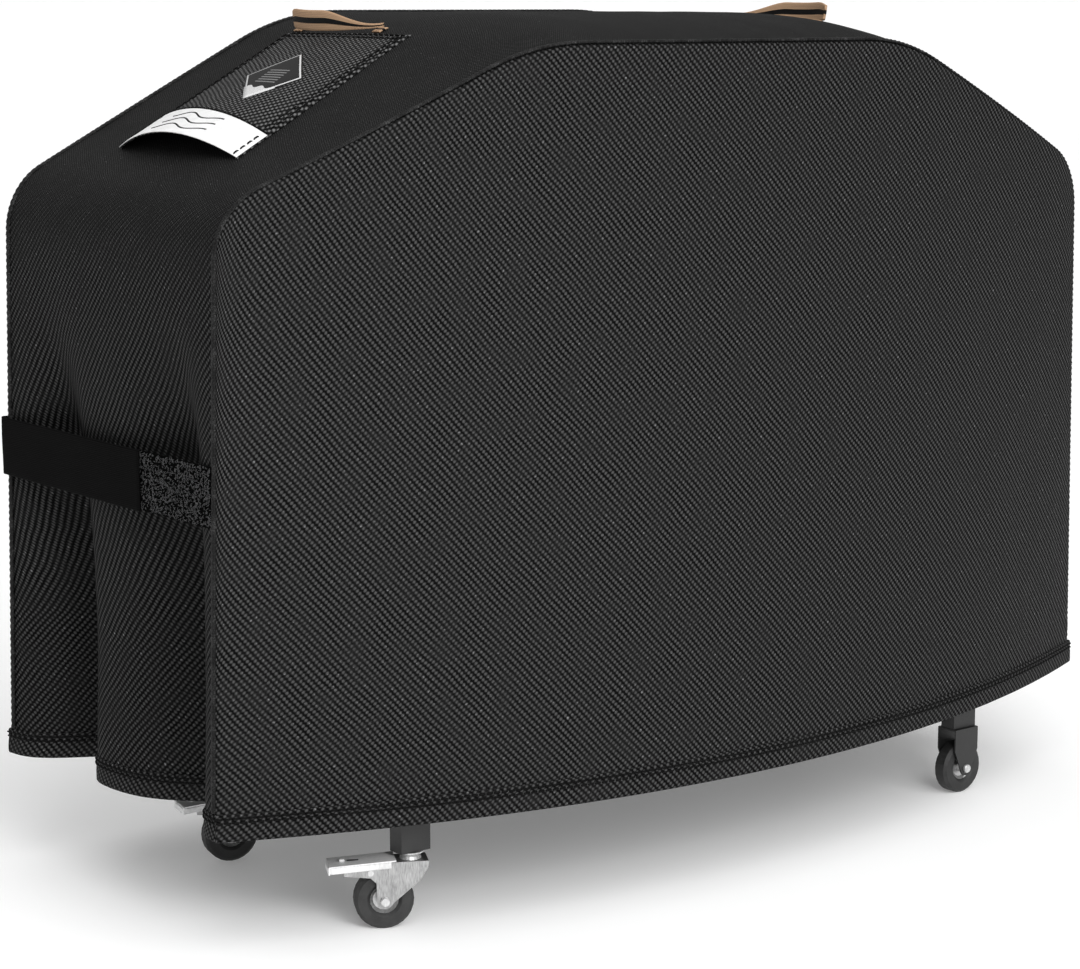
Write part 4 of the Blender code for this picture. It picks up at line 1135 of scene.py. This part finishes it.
def pedalBlock(name, body, turned, kind, look):
    middle, size = pedal[kind]
    bm = bmesh.new()
    bmesh.ops.create_cube(bm, size=1.0)
    bmesh.ops.scale(bm, vec=size, verts=bm.verts)
    bmesh.ops.bevel(bm, geom=bm.edges[:], offset=min(size) * pedal["bevel"], segments=2, profile=0.5,
                    material=-1, affect='EDGES')
    bmesh.ops.translate(bm, vec=(middle, 0, pedalTop(middle) + pedal["plate"] + size[2] / 2),
                        verts=bm.verts)
    bmesh.ops.transform(bm, matrix=turned, verts=bm.verts)
    meshPiece(name, bm, look, body)


for caster, (x, y, turn) in casterPlaces.items():
    turned = Matrix.Translation((x, y, 0)) @ Matrix.Rotation(radians(turn), 4, 'Z')
    name, body = caster.title().replace("_", ""), caster + "_pedal"
    pedalRim(name + "PedalRim", body, turned)
    pedalBlock(name + "PedalSlot", body, turned, "slot", looks["paint"])
    pedalBlock(name + "PedalTab", body, turned, "tab", looks["pedal"])
print("frame and casters finished")


# floor, light and camera
stage = {
    "floorSize": 5000, "worldTone": 1.0, "worldStrength": 0.42, "floorGlow": 0.17,
    "keyFrom": (-0.5, -2.6, 2.8), "keyPower": 1.85, "keySpread": 55,
    "topFrom": (-0.4, 0.4, 3.0), "topPower": 0.7, "topSpread": 70,
    "boxPlace": (-0.9, -2.7, 1.5), "boxTarget": (0.0, -0.3, 0.75), "boxSize": 1.1, "boxPower": 34,
}
camera = {"place": (-2.4365, -2.9695, 1.139), "down": 9.794, "turn": 38.099, "lens": 93.386}


def floorLook():
    look = newLook("studio_floor", (0.86, 0.86, 0.86), 0.6)
    shader = look.node_tree.nodes["Principled BSDF"]
    shader.inputs["Emission Color"].default_value = (1, 1, 1, 1)
    shader.inputs["Emission Strength"].default_value = stage["floorGlow"]
    return finishLook(look, speckle(look, 1.5).ramp([(0.3, 0.85), (0.7, 0.88)]))


def buildStage():
    bm = bmesh.new()
    bmesh.ops.create_grid(bm, x_segments=4, y_segments=4, size=stage["floorSize"])
    mesh = bpy.data.meshes.new("floor")
    bm.to_mesh(mesh)
    bm.free()
    mesh.materials.append(floorLook())
    toScene("floor", mesh)
    world = bpy.data.worlds.new("studio")
    world.use_nodes = True
    background = world.node_tree.nodes["Background"]
    background.inputs["Color"].default_value = (stage["worldTone"],) * 3 + (1,)
    # seen directly it is as white as the floor, but it lights the cloth more weakly
    seen = world.node_tree.nodes.new("ShaderNodeLightPath").outputs["Is Camera Ray"]
    strength = world.node_tree.nodes.new("ShaderNodeMapRange")
    strength.inputs["To Min"].default_value = stage["worldStrength"]
    world.node_tree.links.new(seen, strength.inputs["Value"])
    world.node_tree.links.new(strength.outputs["Result"], background.inputs["Strength"])
    bpy.context.scene.world = world
    bpy.context.scene.view_settings.view_transform = 'Standard'


def addLamp(name, kind, power, direction):
    data = bpy.data.lights.new(name, kind)
    data.energy = power
    lamp = toScene(name, data)
    lamp.rotation_euler = Vector(direction).to_track_quat('-Z', 'Y').to_euler()
    return lamp


def buildLamps():
    # daylight from two sides, spread over many degrees so that its shadows stay soft
    for side in ("key", "top"):
        sun = addLamp(side + "Light", 'SUN', stage[side + "Power"], -Vector(stage[side + "From"]))
        sun.data.angle = radians(stage[side + "Spread"])
    # and a nearer lamp that lifts the middle of the front panel
    box = addLamp("frontSoftbox", 'AREA', stage["boxPower"],
                  Vector(stage["boxTarget"]) - Vector(stage["boxPlace"]))
    box.data.size = stage["boxSize"]
    box.location = stage["boxPlace"]


def buildCamera():
    data = bpy.data.cameras.new("camera")
    data.lens = camera["lens"]
    data.sensor_width = 36
    data.clip_end = 2 * stage["floorSize"]
    seen = toScene("camera", data)
    seen.location = camera["place"]
    seen.rotation_euler = (radians(90 - camera["down"]), 0, -radians(camera["turn"]))
    bpy.context.scene.camera = seen


buildStage()
buildLamps()
buildCamera()
print("stage made")
